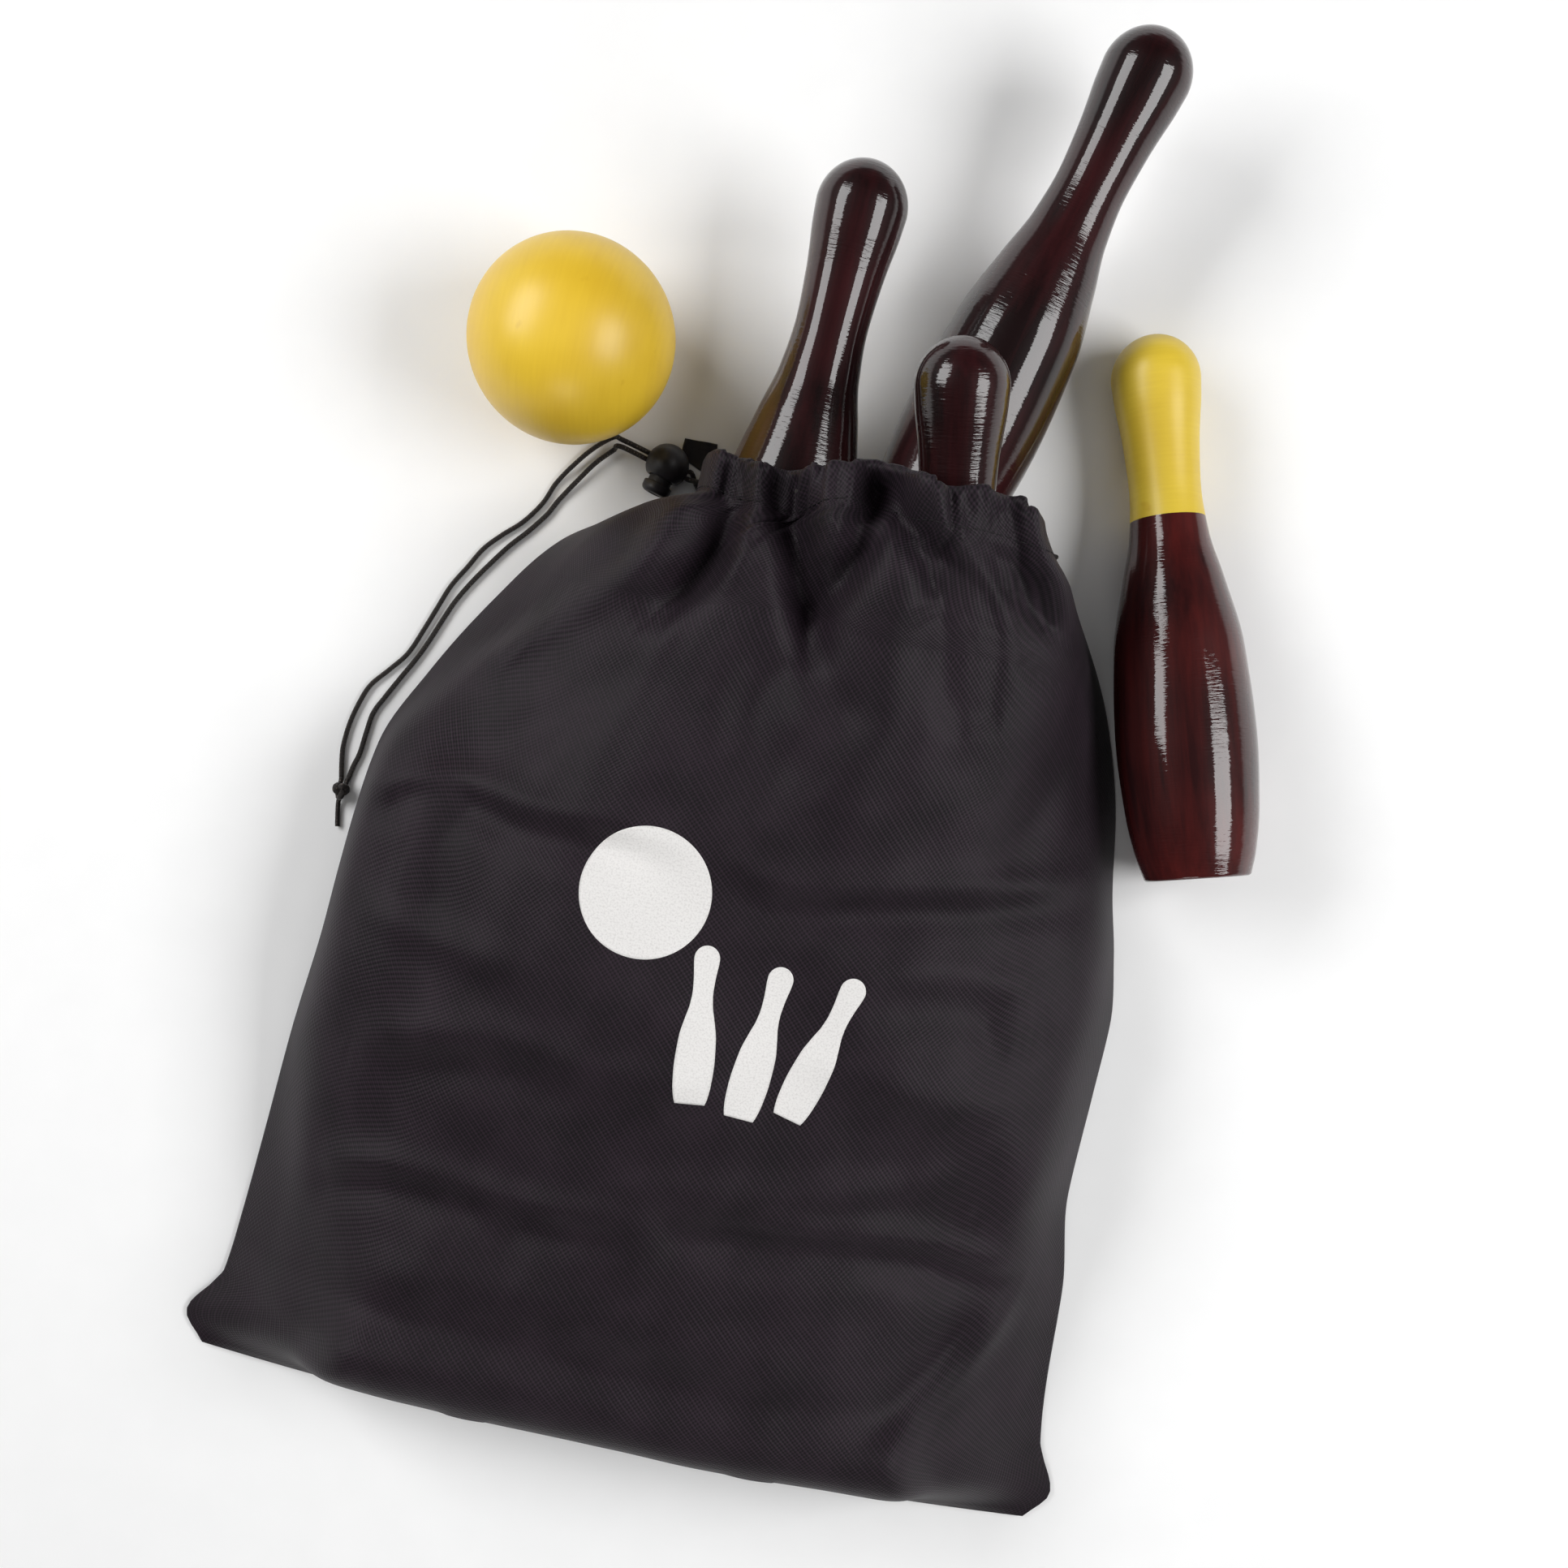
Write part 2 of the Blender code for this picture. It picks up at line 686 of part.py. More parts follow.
def cut(obj, cutter):
    """Cuts one object out of another and keeps the cutter on the same axes."""
    cutter.parent = obj
    modifier = obj.modifiers.new("cord_way", "BOOLEAN")
    modifier.object = cutter


def lock_axes():
    """The lock's axes: X along the cords towards the knot, Z out of the plunger's end."""
    along = slide_direction(90 - LOCK_HEADING, 0)
    out = Vector((along.y, -along.x, 0)) * (1 if along.x > 0 else -1)
    axes = Matrix((along, out.cross(along), out)).transposed()
    return Matrix.Translation(Vector((*LOCK_CENTRE, LOCK_RADIUS))) @ axes.to_4x4()


def lock_point(axes, along, out):
    """A point on the lock's cord way, in world axes."""
    return axes @ Vector((along, 0, out))


def held_pins():
    """Where each pin in the bag lies, the way it slides and how far."""
    right_pin = right_pin_matrix()
    right_way = slide_direction(RIGHT_PIN_HEADING, RIGHT_PIN_LEAN)
    left_pin = pin_matrix(LEFT_PIN_FOOT, LEFT_PIN_HEADING, LEFT_PIN_LEAN, CLOTH, SEAT_GAP)
    left_way = slide_direction(LEFT_PIN_HEADING, LEFT_PIN_LEAN)
    middle_pin, lean = middle_pin_matrix(right_pin)
    lift = middle_pin_lift(middle_pin, right_pin, lean)
    middle_way = slide_direction(MIDDLE_PIN_HEADING, lift)
    held = {
        "left_pin": (left_pin, left_way, mouth_travel(left_pin, left_way, LEFT_PIN_OVERRUN)),
        "middle_pin": (middle_pin, middle_way, MIDDLE_PIN_TRAVEL),
        "right_pin": (right_pin, right_way, mouth_travel(right_pin, right_way, RIGHT_PIN_OVERRUN)),
    }
    count = len(HIDDEN_PIN_TRAVELS)
    for index, travel in enumerate(HIDDEN_PIN_TRAVELS):
        across = HIDDEN_PIN_SPACING * (index - (count - 1) / 2)
        head_up = index % 2 == 1
        foot = HIDDEN_PINS_END - PIN_HEIGHT if head_up else HIDDEN_PINS_END
        heading = 0 if head_up else 180
        matrix = pin_matrix((across, foot), heading, lying_lean(), CLOTH, SEAT_GAP)
        held[f"hidden_pin_{index + 1}"] = (matrix, Vector((0, 1, 0)), travel)
    return held


def king_pin_hinge():
    """Where the king pin lies, the floor line that it tips about, and the turn that stands it up."""
    matrix = pin_matrix(KING_PIN_FOOT, KING_PIN_HEADING, lying_lean(), 0, 0)
    tip = math.radians(90 - lying_lean())
    foot = matrix.translation
    # A turn about this place ends with the flat of the foot on the floor.
    reach = foot.z * math.cos(tip) / math.sin(tip)
    along = slide_direction(KING_PIN_HEADING, 0)
    hinge = Vector((foot.x, foot.y, 0)) + along * reach
    return matrix, hinge, along.cross(UP), tip


def build_pins(lacquer, paint):
    """Places the nine pins and returns those that the bag holds."""
    pin = pin_mesh()
    held = held_pins()
    for name, (matrix, _, _) in held.items():
        obj = add_object(name, pin, lacquer)
        obj.matrix_world = matrix
    matrix, hinge, _, _ = king_pin_hinge()
    king = add_object("king_pin", pin.copy(), lacquer, paint)
    for face in king.data.polygons:
        if face.center.z > PIN_HEIGHT - KING_PAINT_LENGTH:
            face.material_index = 1
    tip_line = bpy.data.objects.new("king_pin_tip_line", None)
    bpy.context.scene.collection.objects.link(tip_line)
    tip_line.location = hinge
    king.parent = tip_line
    king.matrix_local = Matrix.Translation(-hinge) @ matrix
    return list(held.values())


def build_ball(paint):
    """The ball, with its poles up and down."""
    outline = arc((0, 0), BALL_RADIUS, -90, 90, BALL_RINGS)
    outline[0] = (0, -BALL_RADIUS)
    outline[-1] = (0, BALL_RADIUS)
    ball = add_object("ball", turned_mesh("ball", outline, BALL_SEGMENTS), paint)
    ball.location = (*BALL_PLACE, BALL_RADIUS)


def build_bag(held_pins, cloth):
    """The two panels and their hem tunnels. Returns the cord's line in each tunnel."""
    inner = drape_front(held_pins)
    normals = grid_normals(inner)
    hem_normals = casing_normals(inner[-2], inner[-1])
    normals[-2] = hem_normals
    outer = inner + CLOTH * normals
    front = sheet_mesh("bag_front_panel", inner[:-1], outer[:-1])
    add_object("bag_front_panel", front, cloth)
    sections = casing_sections(inner[-2], inner[-1], hem_normals)
    add_object("front_casing", tunnel_mesh("front_casing", *sections[:2]), cloth)
    columns = np.linspace(0, 1, BAG_COLUMNS // 2 + 1)
    hem_row = 1 - 1 / BAG_ROWS
    hem = []
    mouth = []
    for column in columns:
        for row, line in ((hem_row, hem), (1, mouth)):
            x, y = panel_plan(column, row)
            line.append((x, y - back_mouth_sag(column), 0))
    hem, mouth = np.array(hem), np.array(mouth)
    back_sections = casing_sections(hem, mouth, casing_normals(hem, mouth))
    add_object("back_casing", tunnel_mesh("back_casing", *back_sections[:2]), cloth)
    rows = np.linspace(0, hem_row, BAG_ROWS)
    base = []
    for row in rows:
        line = []
        for column in columns:
            x, y = panel_plan(column, row)
            sag = back_mouth_sag(column) * (row / hem_row)
            line.append((x, y - sag, 0))
        base.append(line)
    base = np.array(base)
    rim = np.concatenate([base[0], base[1:, -1], base[-1, -2::-1], base[-2:0:-1, 0]])
    add_object("bag_back_panel", plate_mesh("bag_back_panel", rim, CLOTH), cloth)
    build_tab(mouth[0], mouth[1], cloth)
    return sections[2], back_sections[2]


def build_tab(end, after, cloth):
    """The tab on the end of the back hem, beside the cord's way out."""
    edge = after - end
    out = np.array((-edge[1], edge[0], 0)) / np.linalg.norm(edge)
    corner = end + SEAT_GAP * out
    rim = [corner, corner + edge / 2]
    rim += [corner + np.array((TAB_LENGTH * x, TAB_DEPTH * y, 0)) for x, y in TAB_SHARES]
    add_object("casing_end_tab", plate_mesh("casing_end_tab", np.array(rim), CLOTH), cloth)


def plate_mesh(name, rim, thickness):
    """A flat plate of an outline, from its underside up."""
    count = len(rim)
    top = rim + np.array((0, 0, thickness))
    points = np.concatenate([rim, top])
    faces = [tuple(range(count - 1, -1, -1)), tuple(range(count, 2 * count))]
    faces += [(k, (k + 1) % count, count + (k + 1) % count, count + k) for k in range(count)]
    return mesh_from(name, points, faces, smooth=False)


def build_lock(plastic, steel):
    """The cord lock: a ball with a sprung plunger, both pierced for the two strands."""
    axes = lock_axes()
    mouth_angle = math.degrees(math.asin(LOCK_MOUTH / LOCK_RADIUS))
    outline = arc((0, 0), LOCK_RADIUS, -90, mouth_angle, LOCK_RINGS)
    outline[0] = (0, -LOCK_RADIUS)
    outline += [
        (LOCK_BORE_RADIUS, LOCK_MOUTH),
        (LOCK_BORE_RADIUS, BORE_BOTTOM),
        (SPRING_RADIUS + RUNNING_GAP, BORE_BOTTOM),
        (SPRING_RADIUS + RUNNING_GAP, POCKET_BOTTOM),
        (0, POCKET_BOTTOM),
    ]
    body = add_object("cord_lock_body", turned_mesh("cord_lock_body", outline, LOCK_SEGMENTS), plastic)
    body.matrix_world = axes
    reach = LOCK_RADIUS + CUT_OVERRUN
    low = (-reach, -SLOT_HALF_HEIGHT, -SLOT_HALF_WIDTH)
    high = (reach, SLOT_HALF_HEIGHT, SLOT_HALF_WIDTH)
    cut(body, box_cutter("cord_lock_body_way", low, high))
    cap_top = CAP_BASE + PLUNGER_CAP_HEIGHT
    outline = [
        (0, STEM_BOTTOM),
        (STEM_RADIUS, STEM_BOTTOM),
        (STEM_RADIUS, CAP_BASE),
        (PLUNGER_CAP_RADIUS, CAP_BASE),
    ]
    centre = (PLUNGER_CAP_RADIUS - PLUNGER_CAP_ROUND, cap_top - PLUNGER_CAP_ROUND)
    outline += arc(centre, PLUNGER_CAP_ROUND, 0, 90, 4)
    outline += [(0, cap_top)]
    plunger = add_object("cord_lock_plunger", turned_mesh("cord_lock_plunger", outline, SMALL_SEGMENTS), plastic)
    plunger.matrix_world = axes
    reach = STEM_RADIUS + CUT_OVERRUN
    low = (-reach, -SLOT_HALF_HEIGHT, -SLOT_HALF_WIDTH)
    high = (reach, SLOT_HALF_HEIGHT, SLOT_HALF_WIDTH + PLUNGER_TRAVEL)
    cut(plunger, box_cutter("cord_lock_plunger_way", low, high))
    low = POCKET_BOTTOM + RUNNING_GAP
    high = STEM_BOTTOM - RUNNING_GAP
    outline = [
        (SPRING_RADIUS - SPRING_WIRE, low),
        (SPRING_RADIUS, low),
        (SPRING_RADIUS, high),
        (SPRING_RADIUS - SPRING_WIRE, high),
    ]
    spring = add_object("cord_lock_spring", sleeve_mesh("cord_lock_spring", outline), steel)
    spring.matrix_world = axes
    return axes


def sleeve_mesh(name, section):
    """Turns a closed section of (radius, height) points round Z into a ring."""
    points = []
    faces = []
    count = len(section)
    for k in range(SMALL_SEGMENTS):
        angle = 2 * math.pi * k / SMALL_SEGMENTS
        for radius, height in section:
            points.append((radius * math.cos(angle), radius * math.sin(angle), height))
        for j in range(count):
            a = k * count + j
            b = k * count + (j + 1) % count
            c = ((k + 1) % SMALL_SEGMENTS) * count + (j + 1) % count
            d = ((k + 1) % SMALL_SEGMENTS) * count + j
            faces.append((a, b, c, d))
    return mesh_from(name, points, faces)


def build_cords(front_line, back_line, axes, cord):
    """The drawcord round the mouth, its two free strands through the lock, and the knot."""
    along = axes.col[0].to_3d()
    into = {}
    past = {}
    for name, out in (("outer", -STRAND_SPREAD), ("inner", STRAND_SPREAD)):
        into[name] = lock_point(axes, -LOCK_RADIUS, out)
        past[name] = lock_point(axes, LOCK_RADIUS + LOCK_TRAVEL + CORD_RADIUS, out)
    front = [Vector(point) for point in front_line]
    back = [Vector(point) for point in back_line[::-1]]
    out = Vector((CORD_TURN, 0, 0))
    route = [into["inner"], into["inner"] - along * CORD_RADIUS, front[0] - out / 2]
    route += front
    route += [front[-1] + out, (front[-1] + back[0]) / 2 + 2 * out, back[0] + out]
    route += back
    route += [back[-1] - out / 2, into["outer"] - along * CORD_RADIUS, into["outer"]]
    cord_object("drawcord", route, cord)
    floor = CORD_RADIUS + SEAT_GAP
    for name, places in (("outer", OUTER_STRAND_ROUTE), ("inner", INNER_STRAND_ROUTE)):
        start = into[name] + along * SEAT_GAP
        heights = np.interp(range(len(places)), (0, STRAND_DROP_POINTS), (axes.translation.z / 2, floor))
        route = [start, (start + past[name]) / 2, past[name]]
        route += [Vector((x, y, z)) for (x, y), z in zip(places, heights)]
        cord_object(f"{name}_strand", smooth_route(route, CORD_STEP), cord)
    knot = add_object("cord_knot", knot_mesh(), cord)
    knot.location = (*KNOT_PLACE, SEAT_GAP)


def knot_mesh():
    """A knot drawn tight, with lobes that wind round it and a short tail, all lying on the floor."""
    rings = [(KNOT_LENGTH * place, KNOT_RADIUS * radius) for place, radius in KNOT_SHARES]
    root = rings[0][0]
    rings = [(root - KNOT_TAIL, CORD_RADIUS), (root - KNOT_TAIL / 2, CORD_RADIUS)] + rings
    points = []
    faces = []
    for place, radius in rings:
        lobes = KNOT_LOBE_SHARE * (place > root)
        rise = radius * (1 + lobes)
        for k in range(SMALL_SEGMENTS):
            angle = 2 * math.pi * k / SMALL_SEGMENTS
            reach = radius * (1 + lobes * math.cos(KNOT_LOBES * angle + KNOT_TWIST * place / radius))
            points.append((reach * math.cos(angle), place, rise + reach * math.sin(angle)))
    for ring in range(len(rings) - 1):
        for k in range(SMALL_SEGMENTS):
            a = ring * SMALL_SEGMENTS + k
            b = ring * SMALL_SEGMENTS + (k + 1) % SMALL_SEGMENTS
            faces.append((a, b, b + SMALL_SEGMENTS, a + SMALL_SEGMENTS))
    last = len(points) - SMALL_SEGMENTS
    faces.append(tuple(range(SMALL_SEGMENTS)))
    faces.append(tuple(range(last, len(points))))
    return mesh_from("cord_knot", points, faces)


def main():
    clear_scene()
    lacquer = make_material("red_lacquer", RED_LACQUER, 0.15)
    paint = make_material("yellow_paint", YELLOW_PAINT, 0.35)
    cloth = make_material("black_cloth", BLACK_CLOTH, 0.9)
    plastic = make_material("black_plastic", BLACK_PLASTIC, 0.5)
    cord = make_material("cord", CORD_COLOUR, 0.85)
    steel = make_material("spring_steel", STEEL, 0.3, 1.0)
    held = build_pins(lacquer, paint)
    build_ball(paint)
    front_line, back_line = build_bag(held, cloth)
    axes = build_lock(plastic, steel)
    build_cords(front_line, back_line, axes, cord)


main()
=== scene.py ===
# %% [markdown]
# # Lawn ninepins in their drawstring bag
#
# This lesson dresses a set of lawn ninepins: nine turned and lacquered wooden pins, one painted
# wooden ball and the black drawstring bag that holds them. The plain solids and their joints are
# already packed as a frame. Here each piece gets its fine shape and its finish.

# %% Load the frame
import math

import bpy
import numpy as np
from mathutils import Matrix, Vector
from mathutils.bvhtree import BVHTree


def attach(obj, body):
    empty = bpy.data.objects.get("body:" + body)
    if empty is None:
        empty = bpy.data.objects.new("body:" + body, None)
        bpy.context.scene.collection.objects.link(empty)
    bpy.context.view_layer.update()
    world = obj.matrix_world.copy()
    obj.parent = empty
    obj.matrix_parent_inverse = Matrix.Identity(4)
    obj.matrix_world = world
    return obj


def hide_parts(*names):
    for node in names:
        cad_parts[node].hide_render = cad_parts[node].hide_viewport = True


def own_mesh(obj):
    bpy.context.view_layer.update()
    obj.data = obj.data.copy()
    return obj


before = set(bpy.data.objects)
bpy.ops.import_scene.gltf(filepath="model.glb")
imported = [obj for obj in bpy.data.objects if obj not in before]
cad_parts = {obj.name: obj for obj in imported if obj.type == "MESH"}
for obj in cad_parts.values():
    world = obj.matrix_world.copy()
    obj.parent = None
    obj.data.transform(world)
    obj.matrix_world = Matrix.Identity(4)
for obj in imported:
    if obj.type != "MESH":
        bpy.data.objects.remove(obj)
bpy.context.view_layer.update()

# %% [markdown]
# ## The helpers
#
# A few small helpers are enough for the whole lesson. One turns a colour as a paint chart writes it
# into the linear numbers that Blender shades with. One adds a node with its settings and links, for
# materials and for Geometry Nodes alike, and the short ones after it name the nodes that come again
# and again. One makes a finished piece from points and faces and hands it to the body that it moves
# with.

# %% Colours and nodes
MM = 0.001


def linear(code):
    """The linear colour of an sRGB hex value."""
    parts = [int(code[i:i + 2], 16) / 255 for i in (1, 3, 5)]
    return (*[c / 12.92 if c <= 0.04045 else ((c + 0.055) / 1.055) ** 2.4 for c in parts], 1)


def feed(node, inputs):
    """Sets a node's inputs. Another node stands for its first output, and a hex value for its colour."""
    for socket, value in dict(inputs).items():
        if isinstance(value, bpy.types.Node):
            value = value.outputs[0]
        if isinstance(value, bpy.types.NodeSocket):
            node.id_data.links.new(value, node.inputs[socket])
        else:
            node.inputs[socket].default_value = linear(value) if isinstance(value, str) else value


def add(tree, kind, inputs=(), **settings):
    """Adds one node with its settings and inputs."""
    node = tree.nodes.new(kind)
    for name, value in settings.items():
        setattr(node, name, value)
    feed(node, inputs)
    return node


def maths(tree, operation, *values):
    """One step of arithmetic."""
    return add(tree, "ShaderNodeMath", enumerate(values), operation=operation)


def noise(tree, place, scale, detail, **more):
    """Noise at each place."""
    return add(tree, "ShaderNodeTexNoise", {"Vector": place, "Scale": scale, "Detail": detail, **more})


def spread(tree, value, low, high, to_low=0, to_high=1, **settings):
    """Spreads a value's range from low to high over another range."""
    ends = {"From Min": low, "From Max": high, "To Min": to_low, "To Max": to_high}
    return add(tree, "ShaderNodeMapRange", {"Value": value, **ends}, **settings)


def stretched(tree, place, scale):
    """Places stretched along each axis, for a pattern with a grain."""
    return add(tree, "ShaderNodeMapping", {"Vector": place, "Scale": scale})


def between(tree, share, dark, light):
    """The colour at a share of the way from one colour to another."""
    return add(tree, "ShaderNodeMix", {0: share, 6: dark, 7: light}, data_type="RGBA").outputs[2]


def new_finish(name, **constants):
    """A material with a bare Principled shader. Constants go straight to its sockets."""
    finish = bpy.data.materials.new(name)
    finish.use_nodes = True
    shader = finish.node_tree.nodes["Principled BSDF"]
    feed(shader, {socket.replace("_", " "): value for socket, value in constants.items()})
    return finish, finish.node_tree, shader


def complete(shader, colour, height=None, strength=0, depth=0, coated=False):
    """Gives a finish its colour and, from a height in millimetres, its relief."""
    feed(shader, {"Base Color": colour})
    if height is not None:
        bump = {"Height": height, "Strength": strength, "Distance": depth * MM}
        relief = add(shader.id_data, "ShaderNodeBump", bump)
        feed(shader, dict.fromkeys(("Normal", "Coat Normal") if coated else ("Normal",), relief))


print("node helpers ready")

# %% Meshes and pieces
def new_mesh(name, points, faces, edges=()):
    """A mesh from points and faces, or edges."""
    mesh = bpy.data.meshes.new(name)
    faces = [tuple(map(int, face)) for face in faces]
    mesh.from_pydata([tuple(map(float, point)) for point in points], edges, faces)
    return mesh


def show(name, data):
    """A new object in the scene."""
    thing = bpy.data.objects.new(name, data)
    bpy.context.scene.collection.objects.link(thing)
    return thing


def as_evaluated(thing):
    """A copy of an object's mesh with its modifiers applied."""
    return bpy.data.meshes.new_from_object(thing.evaluated_get(bpy.context.evaluated_depsgraph_get()))


def make_piece(name, points, faces, finishes, body, replaces=()):
    """A finished piece from points and faces in the row's own axes."""
    mesh = new_mesh(name, points, faces)
    for finish in finishes:
        mesh.materials.append(finish)
    mesh.shade_smooth()
    piece = show(name, mesh)
    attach(piece, body)
    if replaces:
        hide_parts(*replaces)
    return piece


def number_rings(count, size):
    """The numbers of points that stand ring after ring, as one list for each ring."""
    return np.arange(count * size).reshape(count, size).tolist()


def ring_faces(rings):
    """The faces between each ring of point numbers and the next. A point repeated makes a pole."""
    return [tuple(dict.fromkeys(corners)) for low, high in zip(rings, rings[1:])
            for corners in zip(low, low[1:] + low[:1], high[1:] + high[:1], high)]


def sheet_faces(count_rows, count_columns):
    """The faces of a closed sheet: a grid of points, then its underside's, and the rim between them."""
    count = count_rows * count_columns
    index = np.arange(count).reshape(count_rows, count_columns)
    a, b, c, d = (part.ravel() for part in (index[:-1, :-1], index[:-1, 1:], index[1:, 1:], index[1:, :-1]))
    faces = np.column_stack([a, b, c, d]).tolist() + (np.column_stack([a, d, c, b]) + count).tolist()
    rim = np.concatenate([index[0], index[1:, -1], index[-1, -2::-1], index[-2:0:-1, 0]])
    return faces + [(q, p, p + count, q + count) for p, q in zip(rim, np.roll(rim, -1))]


def give_attribute(piece, name, vectors):
    """Stores one vector for each point, for a pattern that follows the piece."""
    layer = piece.data.attributes.new(name, "FLOAT_VECTOR", "POINT")
    layer.data.foreach_set("vector", np.asarray(vectors, dtype=np.float32).ravel())


def give_uv(piece, per_corner):
    """The map that the woven finishes read, from one (u, v) pair for each face corner."""
    layer = piece.data.uv_layers.new(name="weave")
    layer.data.foreach_set("uv", np.asarray(per_corner, dtype=np.float32).ravel())


def give_point_uv(piece, per_point):
    """The same map from one (u, v) pair for each point."""
    index = np.empty(len(piece.data.loops), dtype=np.int32)
    piece.data.loops.foreach_get("vertex_index", index)
    give_uv(piece, np.asarray(per_point, dtype=np.float32)[index])


print("piece helpers ready")

# %% [markdown]
# ## The camera
#
# The set is seen from straight above, as on a photographer's table, with the picture turned a
# little against the bag. A focal length of 40 mm at about two thirds of a metre gives the pins
# that stick up the slight growth towards the lens that a nearby camera gives them.

# %% The camera
CAMERA_PLACE = (0.01296, 0.07748, 0.668)
CAMERA_TURN = math.radians(12)
FOCAL_LENGTH = 40.06
lens = bpy.data.cameras.new("overhead_camera")
lens.lens = FOCAL_LENGTH
lens.sensor_width = 36
camera = show("overhead_camera", lens)
camera.location = CAMERA_PLACE
camera.rotation_euler = (0, 0, CAMERA_TURN)
bpy.context.scene.camera = camera
bpy.context.scene.view_settings.view_transform = "Standard"
print("camera at", CAMERA_PLACE)

# %% [markdown]
# ## The free cord
#
# The two ends of the drawcord leave the mouth together, run through the cord lock and lie loose on
# the ground as far as their knot. The photograph shows them from end to end, so their length is the
# length of the route. A braided cord is a tube with shallow ridges that cross each other, so the
# tube is built ring by ring and its radius follows the braid.

# %% The routes of the cord
CORD_RADIUS = 1.0 * MM
CORD_LIFT = CORD_RADIUS + 0.3 * MM
LOCK_CENTRE = Vector((-0.0552, 0.1861, 0.0082))
LOCK_ALONG = Vector((-0.970296, 0.241922, 0))
LOCK_OUT = Vector((-0.241922, -0.970296, 0))
LOCK_RADIUS = 8.2 * MM
LOCK_TRAVEL = 10 * MM
STRAND_SPREAD = 1.3 * MM
CORD_STEP = 0.7 * MM
CORD_SIDES = 12
# How far the braid's pattern turns, in radians for each metre of cord.
BRAID = 2600
OUTER_ROUTE = (
    (-77.9, 193.0), (-85.0, 187.0), (-91.4, 179.0), (-96.2, 171.6), (-99.5, 163.3),
    (-105.3, 154.8), (-112.1, 148.2), (-118.0, 141.6), (-122.6, 133.3), (-127.2, 125.1),
    (-130.6, 115.8), (-133.8, 106.8), (-137.9, 96.5), (-143.6, 88.9), (-149.6, 81.3),
    (-152.8, 72.1), (-154.3, 64.6), (-154.8, 56.3), (-154.0, 50.0), (-153.0, 44.8),
)
INNER_ROUTE = (
    (-76.9, 188.2), (-82.6, 182.3), (-88.2, 174.3), (-93.7, 165.8), (-97.0, 159.4),
    (-102.6, 151.7), (-108.8, 144.4), (-115.0, 135.5), (-119.6, 128.4), (-124.2, 120.1),
    (-127.5, 112.1), (-131.0, 102.8), (-134.6, 94.7), (-138.9, 86.5), (-143.0, 78.4),
    (-146.2, 71.5), (-147.2, 64.2), (-148.0, 55.5), (-149.4, 50.0), (-150.3, 44.8),
)


def unit(vectors):
    """The vectors at unit length."""
    return vectors / np.linalg.norm(vectors, axis=-1, keepdims=True)


def lengths_along(line):
    """How far along a line of points each of them lies."""
    return np.append(0, np.cumsum(np.linalg.norm(np.diff(line, axis=0), axis=1)))


def smooth_line(points, step):
    """Evenly spaced points of the smooth curve through the given ones."""
    keys = np.array([points[0], *points, points[-1]], dtype=float)
    dense = []
    for a, b, c, d in zip(keys, keys[1:], keys[2:], keys[3:]):
        for t in np.linspace(0, 1, 12, endpoint=False):
            bend = (2 * a - 5 * b + 4 * c - d) * t**2 + (3 * b - a - 3 * c + d) * t**3
            dense.append((2 * b + (c - a) * t + bend) / 2)
    dense = np.array([*dense, keys[-1]])
    lengths = lengths_along(dense)
    places = np.linspace(0, lengths[-1], max(2, round(float(lengths[-1] / step))) + 1)
    return np.column_stack([np.interp(places, lengths, dense[:, k]) for k in range(dense.shape[1])])


def strand_line(route, side):
    """The strand from the lock's entry, through the lock and down to the ground."""
    entry = LOCK_CENTRE + LOCK_OUT * side - LOCK_ALONG * (LOCK_RADIUS - 0.3 * MM)
    past = LOCK_CENTRE + LOCK_OUT * side + LOCK_ALONG * (LOCK_RADIUS + LOCK_TRAVEL + CORD_RADIUS)
    heights = np.interp(range(len(route)), (0, 3), (LOCK_CENTRE.z / 2, CORD_LIFT))
    ground = [Vector((x * MM, y * MM, z)) for (x, y), z in zip(route, heights)]
    return smooth_line([entry, (entry + past) / 2, past, *ground], CORD_STEP)


outer_line = strand_line(OUTER_ROUTE, -STRAND_SPREAD)
inner_line = strand_line(INNER_ROUTE, STRAND_SPREAD)


def line_length(line):
    """The length of a line of points."""
    return float(np.linalg.norm(np.diff(line, axis=0), axis=1).sum())


print("strands:", round(line_length(outer_line), 4), round(line_length(inner_line), 4))

# %% [markdown]
# ## Braided polyester cord
#
# The cord is a thin braid of dark brown-black polyester. Its yarns cross in diamonds of about a
# millimetre, and here and there a crossing is painted pale, a painted highlight where it would catch
# the light. The finish reads the tube's own map: u goes once round the cord and v along it in millimetres.

# %% The cord's finish
def cord_finish():
    """Braided polyester cord: dull, with painted highlights as pale flecks where yarns cross."""
    finish, tree, shader = new_finish("cord_braided_polyester", Roughness=0.78, Sheen_Weight=0.15)
    uv = add(tree, "ShaderNodeUVMap", uv_map="weave")
    split = add(tree, "ShaderNodeSeparateXYZ", {0: uv})
    yarns = []
    for sign in (1, -1):
        turn = maths(tree, "MULTIPLY", split.outputs[0], sign * 4 * math.pi)
        yarns.append(maths(tree, "SINE", maths(tree, "MULTIPLY_ADD", split.outputs[1], BRAID * MM, turn)))
    cross = maths(tree, "MULTIPLY", *yarns)
    # Crossings that the noise picks are painted pale, as painted highlights where the light would catch
    # them.
    painted_glint = maths(tree, "MULTIPLY", cross, noise(tree, uv, 1.9, 1))
    colour_and_glint = add(tree, "ShaderNodeValToRGB", {0: painted_glint})
    ramp = colour_and_glint.color_ramp.elements
    ramp[0].position, ramp[0].color = 0.0, linear("#1F1A18")
    # The pale end of the ramp is the painted highlight's colour.
    ramp[1].position, ramp[1].color = 0.62, linear("#7A6E64")
    middle = ramp.new(0.38)
    middle.color = linear("#302825")
    complete(shader, colour_and_glint, cross, 0.5, 0.15)
    return finish


cord_braid = cord_finish()


